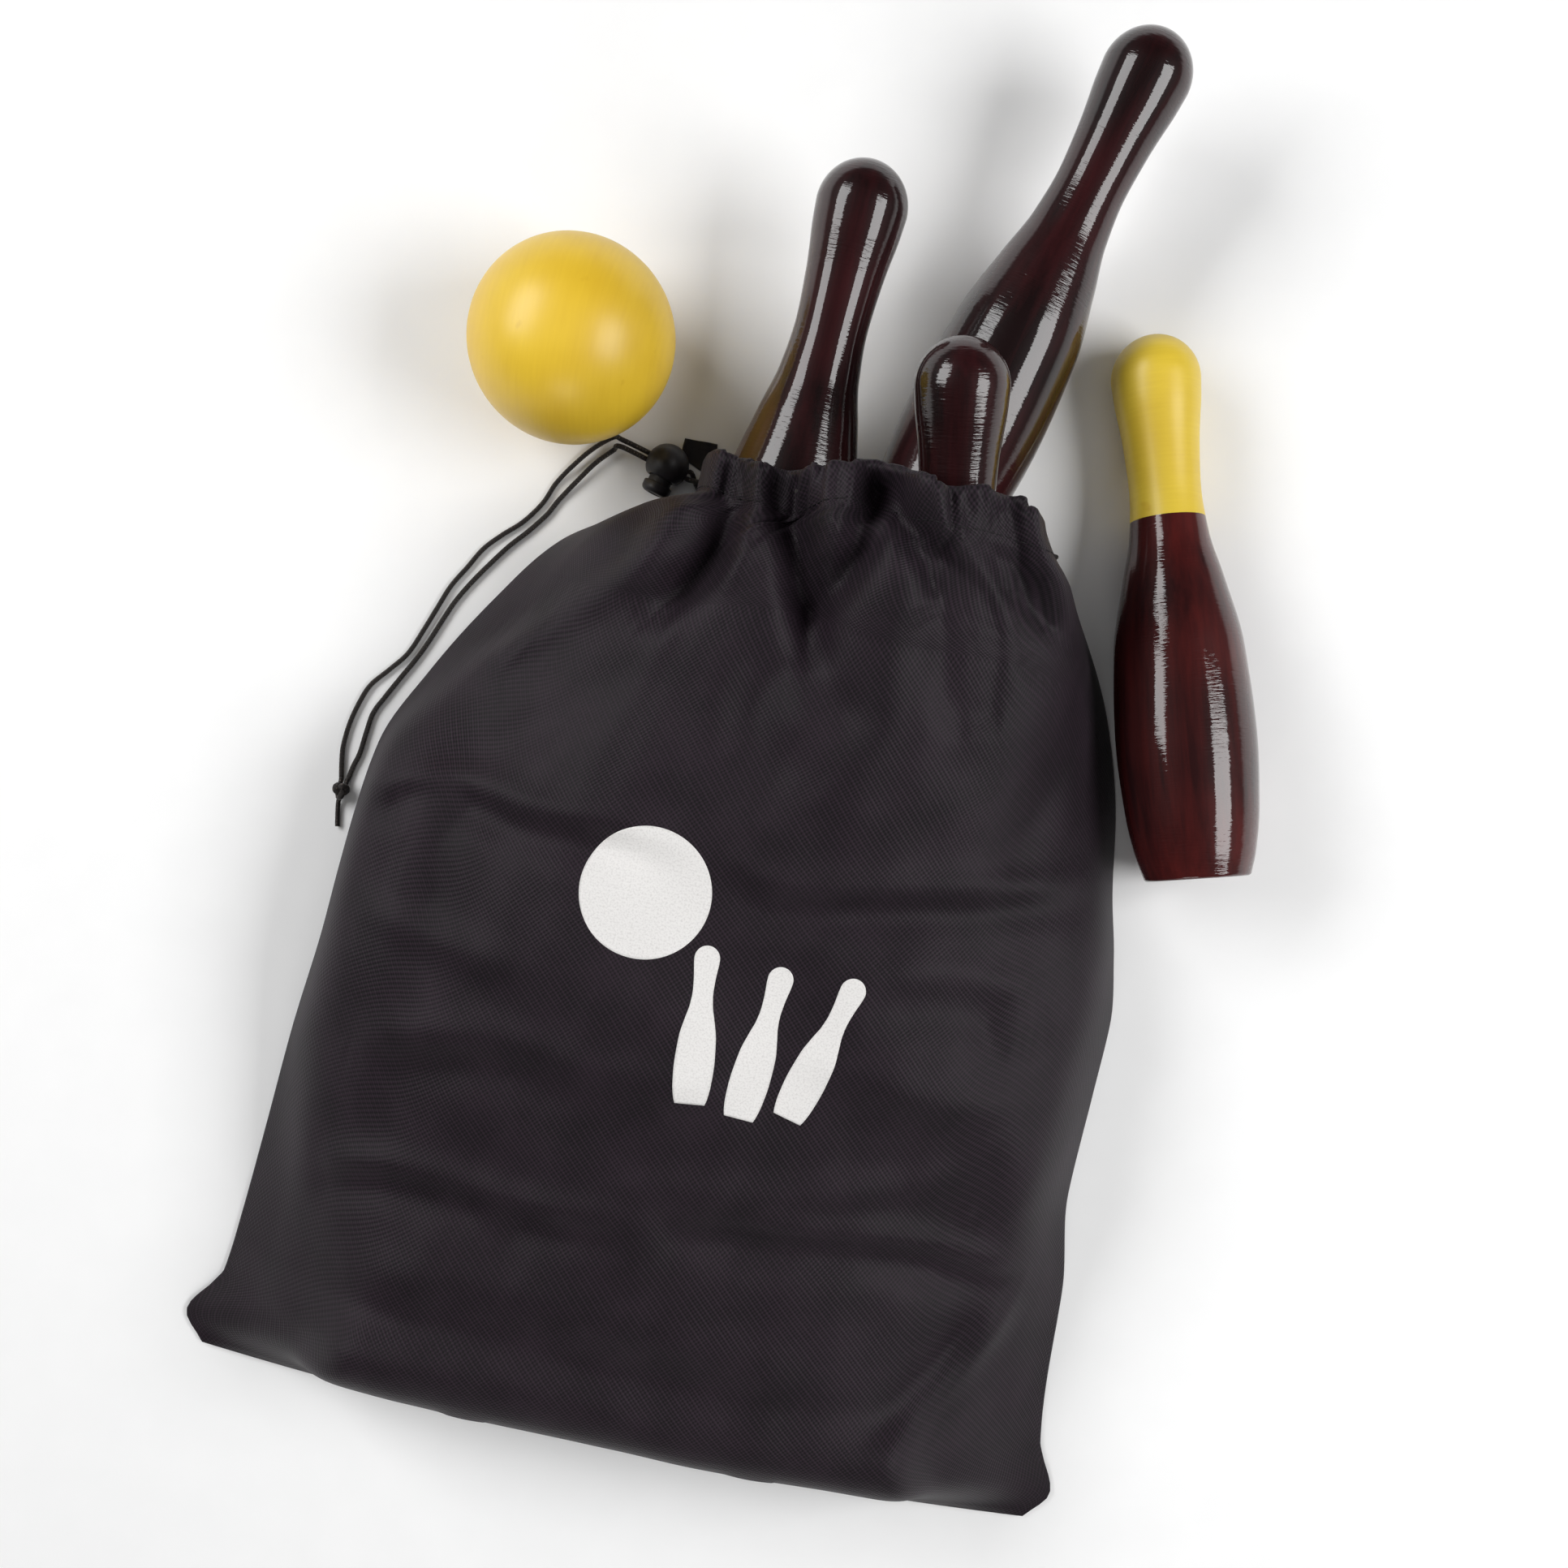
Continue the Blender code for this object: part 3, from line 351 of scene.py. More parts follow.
def frames_along(line, hub):
    """Two directions across a line at each of its points, without twist, or away from a hub."""
    if hub is None:
        along = unit(np.gradient(line, axis=0))
        frames = [np.cross(along[0], (0, 0, 1) if abs(along[0][2]) < 0.9 else (1, 0, 0))]
        for direction in along[1:]:
            frames.append(unit(frames[-1] - direction * np.dot(frames[-1], direction)))
        frames = np.array(frames)
    else:
        along = unit(np.roll(line, -1, axis=0) - np.roll(line, 1, axis=0))
        frames = line - hub
        frames -= along * (frames * along).sum(axis=1, keepdims=True)
    frames = unit(frames)
    return frames, np.cross(along, frames)


def braided_tube(name, line, radius, body, replaces=(), hub=None):
    """A braided tube along a line, with a map along its yarns. Around a hub it joins up with itself."""
    line, segments, closed = np.asarray(line, dtype=float), CORD_SIDES, hub is not None
    lengths = lengths_along(np.vstack([line, line[:1]]) if closed else line)
    points, maps = [], []
    for centre, a, b, length in zip(line, *frames_along(line, hub), lengths):
        for k in range(segments):
            angle = 2 * math.pi * k / segments
            ridge = math.sin(2 * angle + BRAID * length) * math.sin(BRAID * length - 2 * angle)
            reach = radius * (0.95 + 0.05 * ridge)
            points.append(centre + reach * (math.cos(angle) * a + math.sin(angle) * b))
    for low, high in zip(lengths / MM, lengths[1:] / MM):
        for k in range(segments):
            here, beyond = k / segments, (k + 1) / segments
            maps += [(here, low), (beyond, low), (beyond, high), (here, high)]
    rings = number_rings(len(line), segments)
    faces = ring_faces(rings + rings[:1] if closed else rings)
    if not closed:
        faces += [rings[0][::-1], rings[-1]]
        maps += [(0, 0)] * segments + [(0, lengths[-1] / MM)] * segments
    piece = make_piece(name, points, faces, [cord_braid], body, replaces)
    give_uv(piece, maps)
    return piece


outer_strand = braided_tube("outer_strand_braid", outer_line, CORD_RADIUS, "bag", ["outer_strand"])
inner_strand = braided_tube("inner_strand_braid", inner_line, CORD_RADIUS, "bag", ["inner_strand"])
print("strand faces:", len(outer_strand.data.polygons))

# %% [markdown]
# ## The knot
#
# The two ends are tied together in one small overhand knot, drawn tight, with a short tail. Its
# form is a trefoil: a line that passes over and under itself three times. A tube along that line,
# pressed flat, looks like the real knot from every side.

# %% The knot and its tail
KNOT_PLACE = np.array((-151.6, 40.0, 3.7)) * MM
KNOT_SCALE = 0.72 * MM
KNOT_RADIUS = 1.25 * MM
TIGHT_RADIUS = 0.95 * MM
TAIL_KEYS = np.array((
    (-151.9, 38.6, 2.6), (-152.0, 34.6, 1.7), (-151.4, 30.2, 1.3), (-150.6, 26.2, 1.3))) * MM
turns = np.linspace(0, 2 * math.pi, 90, endpoint=False)
trefoil = np.column_stack([
    np.sin(turns) + 2 * np.sin(2 * turns),
    1.25 * (np.cos(turns) - 2 * np.cos(2 * turns)),
    -1.9 * np.sin(3 * turns),
])
knot_line = KNOT_PLACE + trefoil * KNOT_SCALE
knot = braided_tube("cord_knot_braid", knot_line, KNOT_RADIUS, "bag", ["cord_knot"], hub=KNOT_PLACE)
tail = braided_tube("cord_knot_tail", smooth_line(TAIL_KEYS, CORD_STEP), TIGHT_RADIUS, "bag")
for name, line, side in (("outer", outer_line, -0.9), ("inner", inner_line, 0.9)):
    start = np.array(line[-1])
    keys = [start, start * 0.5 + (KNOT_PLACE + np.array((side * MM, 3 * MM, -1.2 * MM))) * 0.5,
            KNOT_PLACE + np.array((side * MM, 1.2 * MM, -0.6 * MM))]
    braided_tube(f"{name}_knot_lead", smooth_line(keys, CORD_STEP), TIGHT_RADIUS, "bag")
print("knot spans", round(float(np.ptp(knot_line[:, 1])) / MM, 1), "mm")

# %% [markdown]
# ## The pins' outline
#
# A pin is turned on a lathe, so one outline says everything: a flat foot, a belly at a quarter of
# the height, a long shoulder, a slim neck and a round head. The numbers are heights and radii along
# that outline. The curve through them never overshoots, as a turner's long sweep doesn't.

# %% The outline of a pin
PIN_HEIGHT = 203 * MM
HEAD_HEIGHT = 186 * MM
HEAD_RADIUS = 16.5 * MM
PAINT_LINE = 133 * MM
FOOT_ROUND = 1.5 * MM
OUTLINE = np.array((
    (0, 19), (8.5, 21.535), (25, 24.135), (50, 25.5), (84.78, 23.702), (110.16, 18.606),
    (127.08, 14.6), (144, 13.1), (160.8, 13.916), (169.2, 14.8), (177.6, 15.888), (186, 16.5),
)) * MM


def sweep_through(keys, places):
    """A smooth curve through the keys that never overshoots them."""
    x, y = np.asarray(keys, dtype=float).T
    slopes = np.diff(y) / np.diff(x)
    tangents = np.zeros(len(x))
    same = slopes[:-1] * slopes[1:] > 0
    mean = 2 * slopes[:-1] * slopes[1:] / (slopes[:-1] + slopes[1:] + ~same)
    tangents[1:-1] = np.where(same, mean, 0)
    tangents[0], tangents[-1] = slopes[0], slopes[-1]
    places = np.clip(places, x[0], x[-1])
    k = np.clip(np.searchsorted(x, places) - 1, 0, len(slopes) - 1)
    span = x[k + 1] - x[k]
    t = (places - x[k]) / span
    ends = (1 + 2 * t) * (1 - t) ** 2 * y[k] + t**2 * (3 - 2 * t) * y[k + 1]
    return ends + t * (1 - t) ** 2 * span * tangents[k] - t**2 * (1 - t) * span * tangents[k + 1]


def pin_radius(heights):
    """The pin's radius at each height above its foot."""
    heights = np.asarray(heights, dtype=float)
    dome = np.clip((heights - HEAD_HEIGHT) / (PIN_HEIGHT - HEAD_HEIGHT), 0, 1)
    head = HEAD_RADIUS * np.sqrt(1 - dome**2)
    return np.where(heights > HEAD_HEIGHT, head, sweep_through(OUTLINE, heights))


PIN_PLACES = {
    "left_pin": ((-0.0106, 0.0991, 0.021291), 2.5, 9.0),
    "middle_pin": ((0.0776, 0.0478, 0.019378), -10.8, 16.81),
    "right_pin": ((0.0411, 0.172843, 0.021073), 14.3, 7.5),
    "king_pin": ((0.1682, 0.0750, 0.029383), -15.9, -3.794),
}
for k in range(5):
    head_up = k % 2 == 1
    foot = (0.052 * (k - 2), -0.1665 if head_up else 0.0365, 0.030483)
    PIN_PLACES[f"hidden_pin_{k + 1}"] = (foot, 0 if head_up else 180, -3.794)


def pin_axes(foot, heading, lean):
    """Where a pin lies: its foot, its heading from the bag's long axis and its lean, in degrees."""
    turn, rise = math.radians(heading), math.radians(lean)
    along = Vector((math.sin(turn) * math.cos(rise), math.cos(turn) * math.cos(rise), math.sin(rise)))
    side = Vector((0, 0, 1)).cross(along).normalized()
    return Matrix.Translation(foot) @ Matrix((side, along.cross(side), along)).transposed().to_4x4()


def moved(points, matrix):
    """The points in the axes that the matrix leads to."""
    matrix = np.array(matrix)
    return np.asarray(points) @ matrix[:3, :3].T + matrix[:3, 3]


print("pins:", len(PIN_PLACES), "belly", round(float(pin_radius(50 * MM)) / MM, 2), "mm")

# %% [markdown]
# ## Dark red gloss lacquer
#
# The pins are stained a dark red-brown and dipped in clear gloss lacquer. Three things give the
# look: the grain runs along the pin as faint lighter streaks, a clear coat carries the sharp window
# shapes, and fine turning marks round the pin make the edges of those shapes ragged. Grain and marks
# read the pin's own axes, stored on each point, so they turn with the pin.

# %% The lacquer's finish
def lacquer_finish(name, dark, light):
    """Stained wood under clear gloss lacquer: deep colour, sharp but ragged window shapes."""
    gloss = {"Coat_Weight": 1.0, "Coat_Roughness": 0.03, "Coat_IOR": 1.5}
    finish, tree, shader = new_finish(name, Roughness=0.5, Specular_IOR_Level=0.12, **gloss)
    own = add(tree, "ShaderNodeAttribute", attribute_name="turned_place").outputs["Vector"]
    # Grain: streaks about 4 mm wide that run some 60 mm along the pin.
    grain = noise(tree, stretched(tree, own, (240, 240, 16)), 1, 4, Roughness=0.6)
    both = maths(tree, "ADD", grain, noise(tree, own, 22, 1))
    colour = between(tree, spread(tree, both, 0.72, 1.3), dark, light)
    # Turning marks: ripples 0.8 mm apart along the pin that last a few millimetres round it.
    ripple = noise(tree, stretched(tree, own, (160, 160, 1250)), 1, 2, Roughness=0.55)
    # The marks come and go over some centimetres.
    here = spread(tree, noise(tree, own, 34, 1), 0.40, 0.62, to_low=0.3)
    complete(shader, colour, maths(tree, "MULTIPLY", ripple, here), 0.75, 0.19, coated=True)
    return finish


pin_lacquer = lacquer_finish("pin_stained_gloss_lacquer", "#150708", "#341013")
king_lacquer = lacquer_finish("king_pin_stained_gloss_lacquer", "#270B0C", "#501816")
print("lacquers:", pin_lacquer.name, king_lacquer.name)

# %% [markdown]
# ## Satin yellow paint
#
# The king's neck and head and the ball are painted yellow, brushed on and left satin. The light
# spreads softly over it, faint brush lines run round the turned form, and the paint lies a little
# thicker and more orange in small patches.

# %% The paint's finish
def paint_finish(name, pale, deep, fleck):
    """Brushed satin paint on wood: a soft sheen with faint brush lines and a few deeper touches."""
    satin = {"Coat_Weight": 0.2, "Coat_Roughness": 0.32, "IOR": 1.5}
    finish, tree, shader = new_finish(name, Roughness=0.42, **satin)
    own = add(tree, "ShaderNodeAttribute", attribute_name="turned_place").outputs["Vector"]
    brush = noise(tree, stretched(tree, own, (60, 60, 900)), 1, 3)
    both = maths(tree, "MULTIPLY_ADD", brush, 0.3, noise(tree, own, 30, 2))
    colour = between(tree, spread(tree, both, 0.4, 0.9), pale, deep)
    touch = spread(tree, noise(tree, own, 90, 2), 0.70, 0.76, to_high=0.5)
    complete(shader, between(tree, touch, colour, fleck), brush, 0.15, 0.08)
    return finish


king_paint = paint_finish("king_pin_satin_yellow_paint", "#E9CB40", "#D9B732", "#CFA022")
ball_paint = paint_finish("ball_satin_yellow_paint", "#F0C938", "#E2B82D", "#D4A41B")
print("paints:", king_paint.name, ball_paint.name)

# %% [markdown]
# ## Turning the pins and the ball
#
# Each pin is the outline turned round its axis in 64 steps, fine enough for clean window shapes. The
# king gets the same mesh with an extra ring where the dip line of the paint is, so the colour
# changes on a real edge. The ball is turned too, because a wooden ball comes from the same lathe.

# %% Turned pieces
def turned(outline, segments):
    """Points and faces of an outline of (radius, height) turned round Z, with its ends on the axis."""
    points, rings = [], []
    for radius, height in outline:
        if radius > 0:
            rings.append([len(points) + k for k in range(segments)])
            for k in range(segments):
                angle = 2 * math.pi * k / segments
                points.append((radius * math.cos(angle), radius * math.sin(angle), height))
        else:
            rings.append([len(points)] * segments)
            points.append((0, 0, height))
    return np.array(points, dtype=float), ring_faces(rings)


SEGMENTS = 64


def arc(centre, radii, start, end, count):
    """Points of an arc in an outline of (radius, height), between two angles in degrees."""
    turn = np.radians(np.linspace(start, end, count))
    return [(centre[0] + radii[0] * math.cos(a), centre[1] + radii[1] * math.sin(a)) for a in turn]


rim = float(pin_radius(FOOT_ROUND))
heights = np.unique(np.append(np.linspace(3 * MM, HEAD_HEIGHT, 78), PAINT_LINE))
pin_outline = [(0, 0)] + arc((rim - FOOT_ROUND, FOOT_ROUND), (FOOT_ROUND, FOOT_ROUND), -90, 0, 5)
pin_outline += [(float(pin_radius(h)), float(h)) for h in heights]
pin_outline += arc((0, HEAD_HEIGHT), (HEAD_RADIUS, PIN_HEIGHT - HEAD_HEIGHT), 0, 90, 15)[1:-1]
pin_outline.append((0, PIN_HEIGHT))
pin_points, pin_faces = turned(pin_outline, SEGMENTS)
for number, (name, place) in enumerate(PIN_PLACES.items()):
    king = name == "king_pin"
    finishes = [king_lacquer, king_paint] if king else [pin_lacquer]
    points = moved(pin_points, pin_axes(*place))
    pin = make_piece(f"{name}_turned", points, pin_faces, finishes, name, [name])
    # Each pin is cut from another place of the wood, so no two show the same grain.
    give_attribute(pin, "turned_place", pin_points + np.array((0.37 * number, 0.23 * number, 0)))
    if king:
        tops = [all(pin_points[v][2] > PAINT_LINE - 0.01 * MM for v in face) for face in pin_faces]
        pin.data.polygons.foreach_set("material_index", np.array(tops, dtype=np.int32))
print("pin faces:", len(pin_faces))

# %% The ball
BALL_PLACE = np.array((-0.0955, 0.2188, 0.0375))
BALL_RADIUS = 37.5 * MM
ball_arc = arc((0, 0), (BALL_RADIUS, BALL_RADIUS), -90, 90, 49)
ball_points, ball_faces = turned([(0, -BALL_RADIUS), *ball_arc[1:-1], (0, BALL_RADIUS)], 96)
ball_place = ball_points + BALL_PLACE
ball = make_piece("ball_turned", ball_place, ball_faces, [ball_paint], "ball", ["ball"])
# The wood's own axis lies level here, as the ball came to rest.
give_attribute(ball, "turned_place", ball_points[:, (1, 2, 0)])
print("ball faces:", len(ball_faces))

# %% [markdown]
# ## The bag's plan
#
# The bag is two panels of cloth sewn together on three sides, with a hem tunnel round the mouth. Its
# drawn mouth is far narrower than its bottom, so the sides curve in. First comes the plan: a grid
# of (u, v) with u across the bag and v from the bottom seam to the mouth, and a function that says
# where each point lies on the ground plan.

# %% The plan of the bag
HALF_WIDTH = 168.5 * MM
BAG_BOTTOM = -177 * MM
BOTTOM_BOW = 7 * MM
CLOTH = 0.8 * MM
HEM_THICKNESS = 4.2 * MM
HEM_DEPTH = 12 * MM
# (share of the bag's length, left and right shares of its half width)
EDGES = np.array((
    (0.000, -0.950, 0.950), (0.030, -1.000, 1.000), (0.080, -0.935, 0.955), (0.145, -0.922, 0.940),
    (0.240, -0.910, 0.932), (0.340, -0.899, 0.900), (0.450, -0.878, 0.908), (0.520, -0.870, 0.913),
    (0.590, -0.859, 0.890), (0.655, -0.841, 0.857), (0.740, -0.760, 0.825), (0.830, -0.647, 0.765),
    (0.900, -0.534, 0.690), (0.945, -0.380, 0.620), (0.967, -0.252, 0.570), (1.000, -0.249, 0.540),
))
# The drawn mouth's edge wanders: (place across, place along), in millimetres.
MOUTH_EDGE = np.array((
    (-42.0, 187.0), (-30.0, 184.6), (-18.0, 181.8), (-5.4, 181.6), (9.1, 185.6), (18.3, 187.2),
    (26.8, 186.4), (35.6, 184.0), (45.0, 182.6), (58.8, 184.6), (65.0, 184.6), (79.0, 183.0), (91.0, 188.4),
)) * MM


def smooth_share(value, low, high):
    """0 below the low value, 1 above the high one, and a smooth rise between."""
    t = np.clip((value - low) / (high - low), 0, 1)
    return t * t * (3 - 2 * t)


def off_sides(low, high):
    """0 near both sides of the bag and 1 between them."""
    return smooth_share(U, low, high) * smooth_share(1 - U, low, high)


def bag_plan(u, v, mouth):
    """The plan place at shares u across and v along the bag, for a given line of the mouth."""
    left = HALF_WIDTH * sweep_through(EDGES[:, :2], v)
    right = HALF_WIDTH * sweep_through(EDGES[:, ::2], v)
    y = BAG_BOTTOM + (mouth(u) - BAG_BOTTOM) * v - BOTTOM_BOW * (1 - v) * (1 - (2 * u - 1) ** 2)
    return left + (right - left) * u, y


def front_mouth(u):
    """The front panel's mouth line."""
    across = HALF_WIDTH * (EDGES[-1, 1] + (EDGES[-1, 2] - EDGES[-1, 1]) * u)
    return sweep_through(MOUTH_EDGE, across)


def back_mouth(u):
    """The back panel's mouth line, which lies a little behind."""
    return 185 * MM + 3 * MM * u - 17.1 * MM * (1 - (2 * u - 1) ** 2)


def denser_ends(count, share):
    """Shares from 0 to 1 that lie closer together near both ends, where the cloth is steep."""
    t = np.linspace(0, 1, count)
    return (1 - share) * t + share * (0.5 - 0.5 * np.cos(math.pi * t))


columns = denser_ends(211, 0.65)
rows = np.concatenate([np.linspace(0, 0.86, 110), np.linspace(0.86, 1, 46)[1:]])
U, V = np.meshgrid(columns, rows)
X, Y = bag_plan(U, V, front_mouth)
to_mouth = (1 - V) * (front_mouth(U) - BAG_BOTTOM)
# The rows of the hem are counted on this column of the grid, near the middle.
HEM_COLUMN = 95
print("cloth grid:", U.shape, "mouth is", round(float(X[-1, -1] - X[-1, 0]) / MM), "mm wide")

# %% [markdown]
# ## What the cloth lies on
#
# Cloth rests on what is inside. Each pin in the bag is sampled on its surface, at rest and on its
# whole way in and out, and the highest sample in each small cell of the plan becomes a height map.
# A pin can then be pulled out without going through the cloth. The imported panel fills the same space
# with few faces, so its own height, softened, is the second thing that the cloth lies on.

# %% The height map under the cloth
WAYS = {
    "left_pin": ((0.043082, 0.986748, 0.156434), 0.102),
    "middle_pin": ((-0.167896, 0.880142, 0.444028), 0.040),
    "right_pin": ((0.244886, 0.960726, 0.130526), 0.0428),
}
for k, travel in enumerate((0.020, 0.040, 0.040, 0.008, 0.008)):
    WAYS[f"hidden_pin_{k + 1}"] = ((0, 1, 0), travel)
CELL = 1.25 * MM
MAP_CORNER = np.array((-0.19, -0.20))
MAP_SHAPE = (330, 310)
SKIN_RINGS, SKIN_SIDES = 150, 80
TRAVEL_STEP = 3 * MM
PIN_CLEARANCE, HEM_CLEARANCE = 0.5 * MM, 1.0 * MM
SEAM_HEIGHT, HEM_SEAM_RISE = 1.9 * MM, 6.8 * MM
SOLID_PASSES, SOLID_DROP = 24, 1.5 * MM


def height_map(clearance):
    """The height that the cloth's outer face has to clear in each cell of the plan."""
    heights = np.zeros(MAP_SHAPE)
    s = np.repeat(np.linspace(0, PIN_HEIGHT, SKIN_RINGS), SKIN_SIDES)
    a = np.tile(np.linspace(0, 2 * math.pi, SKIN_SIDES, endpoint=False), SKIN_RINGS)
    radius = pin_radius(s) + clearance
    skin = np.column_stack([radius * np.cos(a), radius * np.sin(a), s])
    for name, (way, travel) in WAYS.items():
        placed = moved(skin, pin_axes(*PIN_PLACES[name]))
        for step in np.arange(0, travel + TRAVEL_STEP, TRAVEL_STEP):
            at = placed + min(step, travel) * np.array(way)
            cell = ((at[:, :2] - MAP_CORNER) / CELL).astype(int)
            inside = (cell[:, 1] < heights.shape[0]) & (cell[:, 0] < heights.shape[1])
            np.maximum.at(heights, (cell[inside, 1], cell[inside, 0]), at[inside, 2])
    for axis in (0, 1):
        heights = np.maximum(heights, np.maximum(np.roll(heights, 1, axis), np.roll(heights, -1, axis)))
    return heights


def under(heights, x, y):
    """The height map's value under each place."""
    i = np.clip(((y - MAP_CORNER[1]) / CELL).astype(int), 0, heights.shape[0] - 1)
    j = np.clip(((x - MAP_CORNER[0]) / CELL).astype(int), 0, heights.shape[1] - 1)
    return heights[i, j]


def met_below(surface, x, y):
    """Where a ray from above meets a surface, and how the surface leans there."""
    return surface.ray_cast(Vector((x, y, 0.3)), Vector((0, 0, -1)))[:2]


in_hem = smooth_share(-to_mouth, -(HEM_DEPTH + 7 * MM), -(HEM_DEPTH + 1 * MM))
thin = under(height_map(CLOTH + PIN_CLEARANCE), X, Y)
thick = under(height_map(HEM_THICKNESS + HEM_CLEARANCE), X, Y)
least = thin + (thick - thin) * in_hem
seam_height = SEAM_HEIGHT + HEM_SEAM_RISE * in_hem
least = np.maximum(least, seam_height)
over_pins = least.copy()
# Between the pins' ends the cloth is pulled straight along the bottom seam.
straight = least.copy()
for shift in range(1, 30):
    straight[:, shift:] = np.maximum(straight[:, shift:], least[:, :-shift])
    straight[:, :-shift] = np.maximum(straight[:, :-shift], least[:, shift:])
near_bottom = smooth_share(-V, -0.16, -0.09) * off_sides(0.06, 0.2)


def soften(height, passes):
    """Averages each inner point with its neighbours, so that no edge stays sharp."""
    for _ in range(passes):
        height[1:-1, 1:-1] = height[1:-1, 1:-1] / 2 + (
            height[:-2, 1:-1] + height[2:, 1:-1] + height[1:-1, :-2] + height[1:-1, 2:]) / 8
        height[-1, 1:-1] = height[-1, 1:-1] / 2 + (height[-1, :-2] + height[-1, 2:]) / 4
    return height


least = np.maximum(least, (straight - 1.0 * MM) * near_bottom)
panel = bpy.data.objects["bag_front_panel"]
corners = [panel.matrix_world @ point.co for point in panel.data.vertices]
packed = BVHTree.FromPolygons(corners, [tuple(face.vertices) for face in panel.data.polygons])
solid_height = seam_height.copy()
for place, (x, y) in enumerate(zip(X.flat, Y.flat)):
    met = met_below(packed, x, y)[0]
    if met is not None:
        solid_height.flat[place] = met.z
solid_height = soften(solid_height, SOLID_PASSES) - SOLID_DROP
rest = np.maximum(least, solid_height)
print("highest thing under the cloth:", round(float(rest.max()) / MM, 1), "mm")

# %% [markdown]
# ## Letting the cloth settle
#
# A bag's panel is a sheet held at its seams and lifted by what is inside. Repeated averaging of
# each point with its neighbours, never below the height map, finds that sheet: it is the shape of a
# membrane. A light push from inside gives the air that a bag holds. Working on a coarse grid
# first makes it quick, and the same numbers come out on every run.

# %% The settled sheet
BAG_LENGTH = 0.365
PUFF = 3.0
COARSE_PASSES, FINE_PASSES = 900, 500


def neighbour_weights(shares):
    """How strongly the points before and after each share pull on it."""
    after = np.diff(shares, append=2 * shares[-1] - shares[-2])
    before = np.append(after[0], after[:-1])
    return 2 / (before * (before + after)), 2 / (after * (before + after))


def settle(height, floor, seams, u, v, passes):
    """A membrane held along its seams, with a free mouth edge, that stays above the floor."""
    width = HALF_WIDTH * (sweep_through(EDGES[:, ::2], v) - sweep_through(EDGES[:, :2], v))
    left, right = (weight[1:-1] / width[:, None] ** 2 for weight in neighbour_weights(u))
    down, up = (weight[:, None] / BAG_LENGTH**2 for weight in neighbour_weights(v))
    total = left + right + down + up
    for _ in range(passes):
        height[0], height[:, 0], height[:, -1] = seams[0], seams[:, 0], seams[:, -1]
        beyond = np.vstack([height, 2 * height[-1:] - height[-2:-1]])
        sides = left * height[:, :-2] + right * height[:, 2:]
        pull = sides[1:] + up[1:] * beyond[2:, 1:-1] + down[1:] * beyond[:-2, 1:-1] + PUFF
        height[1:, 1:-1] = np.maximum(floor[1:, 1:-1], pull / total[1:])
    return height


def resample(values, u, v, new_u, new_v):
    """The grid's values on another grid of shares."""
    across = np.array([np.interp(new_u, u, row) for row in values])
    return np.array([np.interp(new_v, v, column) for column in across.T]).T


coarse_u, coarse_v = denser_ends(52, 0.65), np.linspace(0, 1, 46)
coarse = [resample(values, columns, rows, coarse_u, coarse_v) for values in (rest, seam_height)]
sheet_height = settle(coarse[0].copy(), *coarse, coarse_u, coarse_v, COARSE_PASSES)
sheet_height = resample(sheet_height, coarse_u, coarse_v, columns, rows)
sheet_height = settle(np.maximum(sheet_height, rest), rest, seam_height, columns, rows, FINE_PASSES)
for passes in (40, 24, 12, 6):
    sheet_height = np.maximum(soften(sheet_height, passes), least)
print("cloth stands up to", round(float(sheet_height.max()) / MM, 1), "mm")

# %% [markdown]
# ## Folds, creases and gathers
#
# Three kinds of fold make cloth look real. Drawing the mouth shut sends long folds down into the
# panel. Along the cord the hem itself is bunched into gathers a centimetre apart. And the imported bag
# was folded flat, which leaves shallow creases across it. Each long fold is a line with a depth and
# a width, placed as the photograph shows it, and the gathers are waves that die out below the hem.

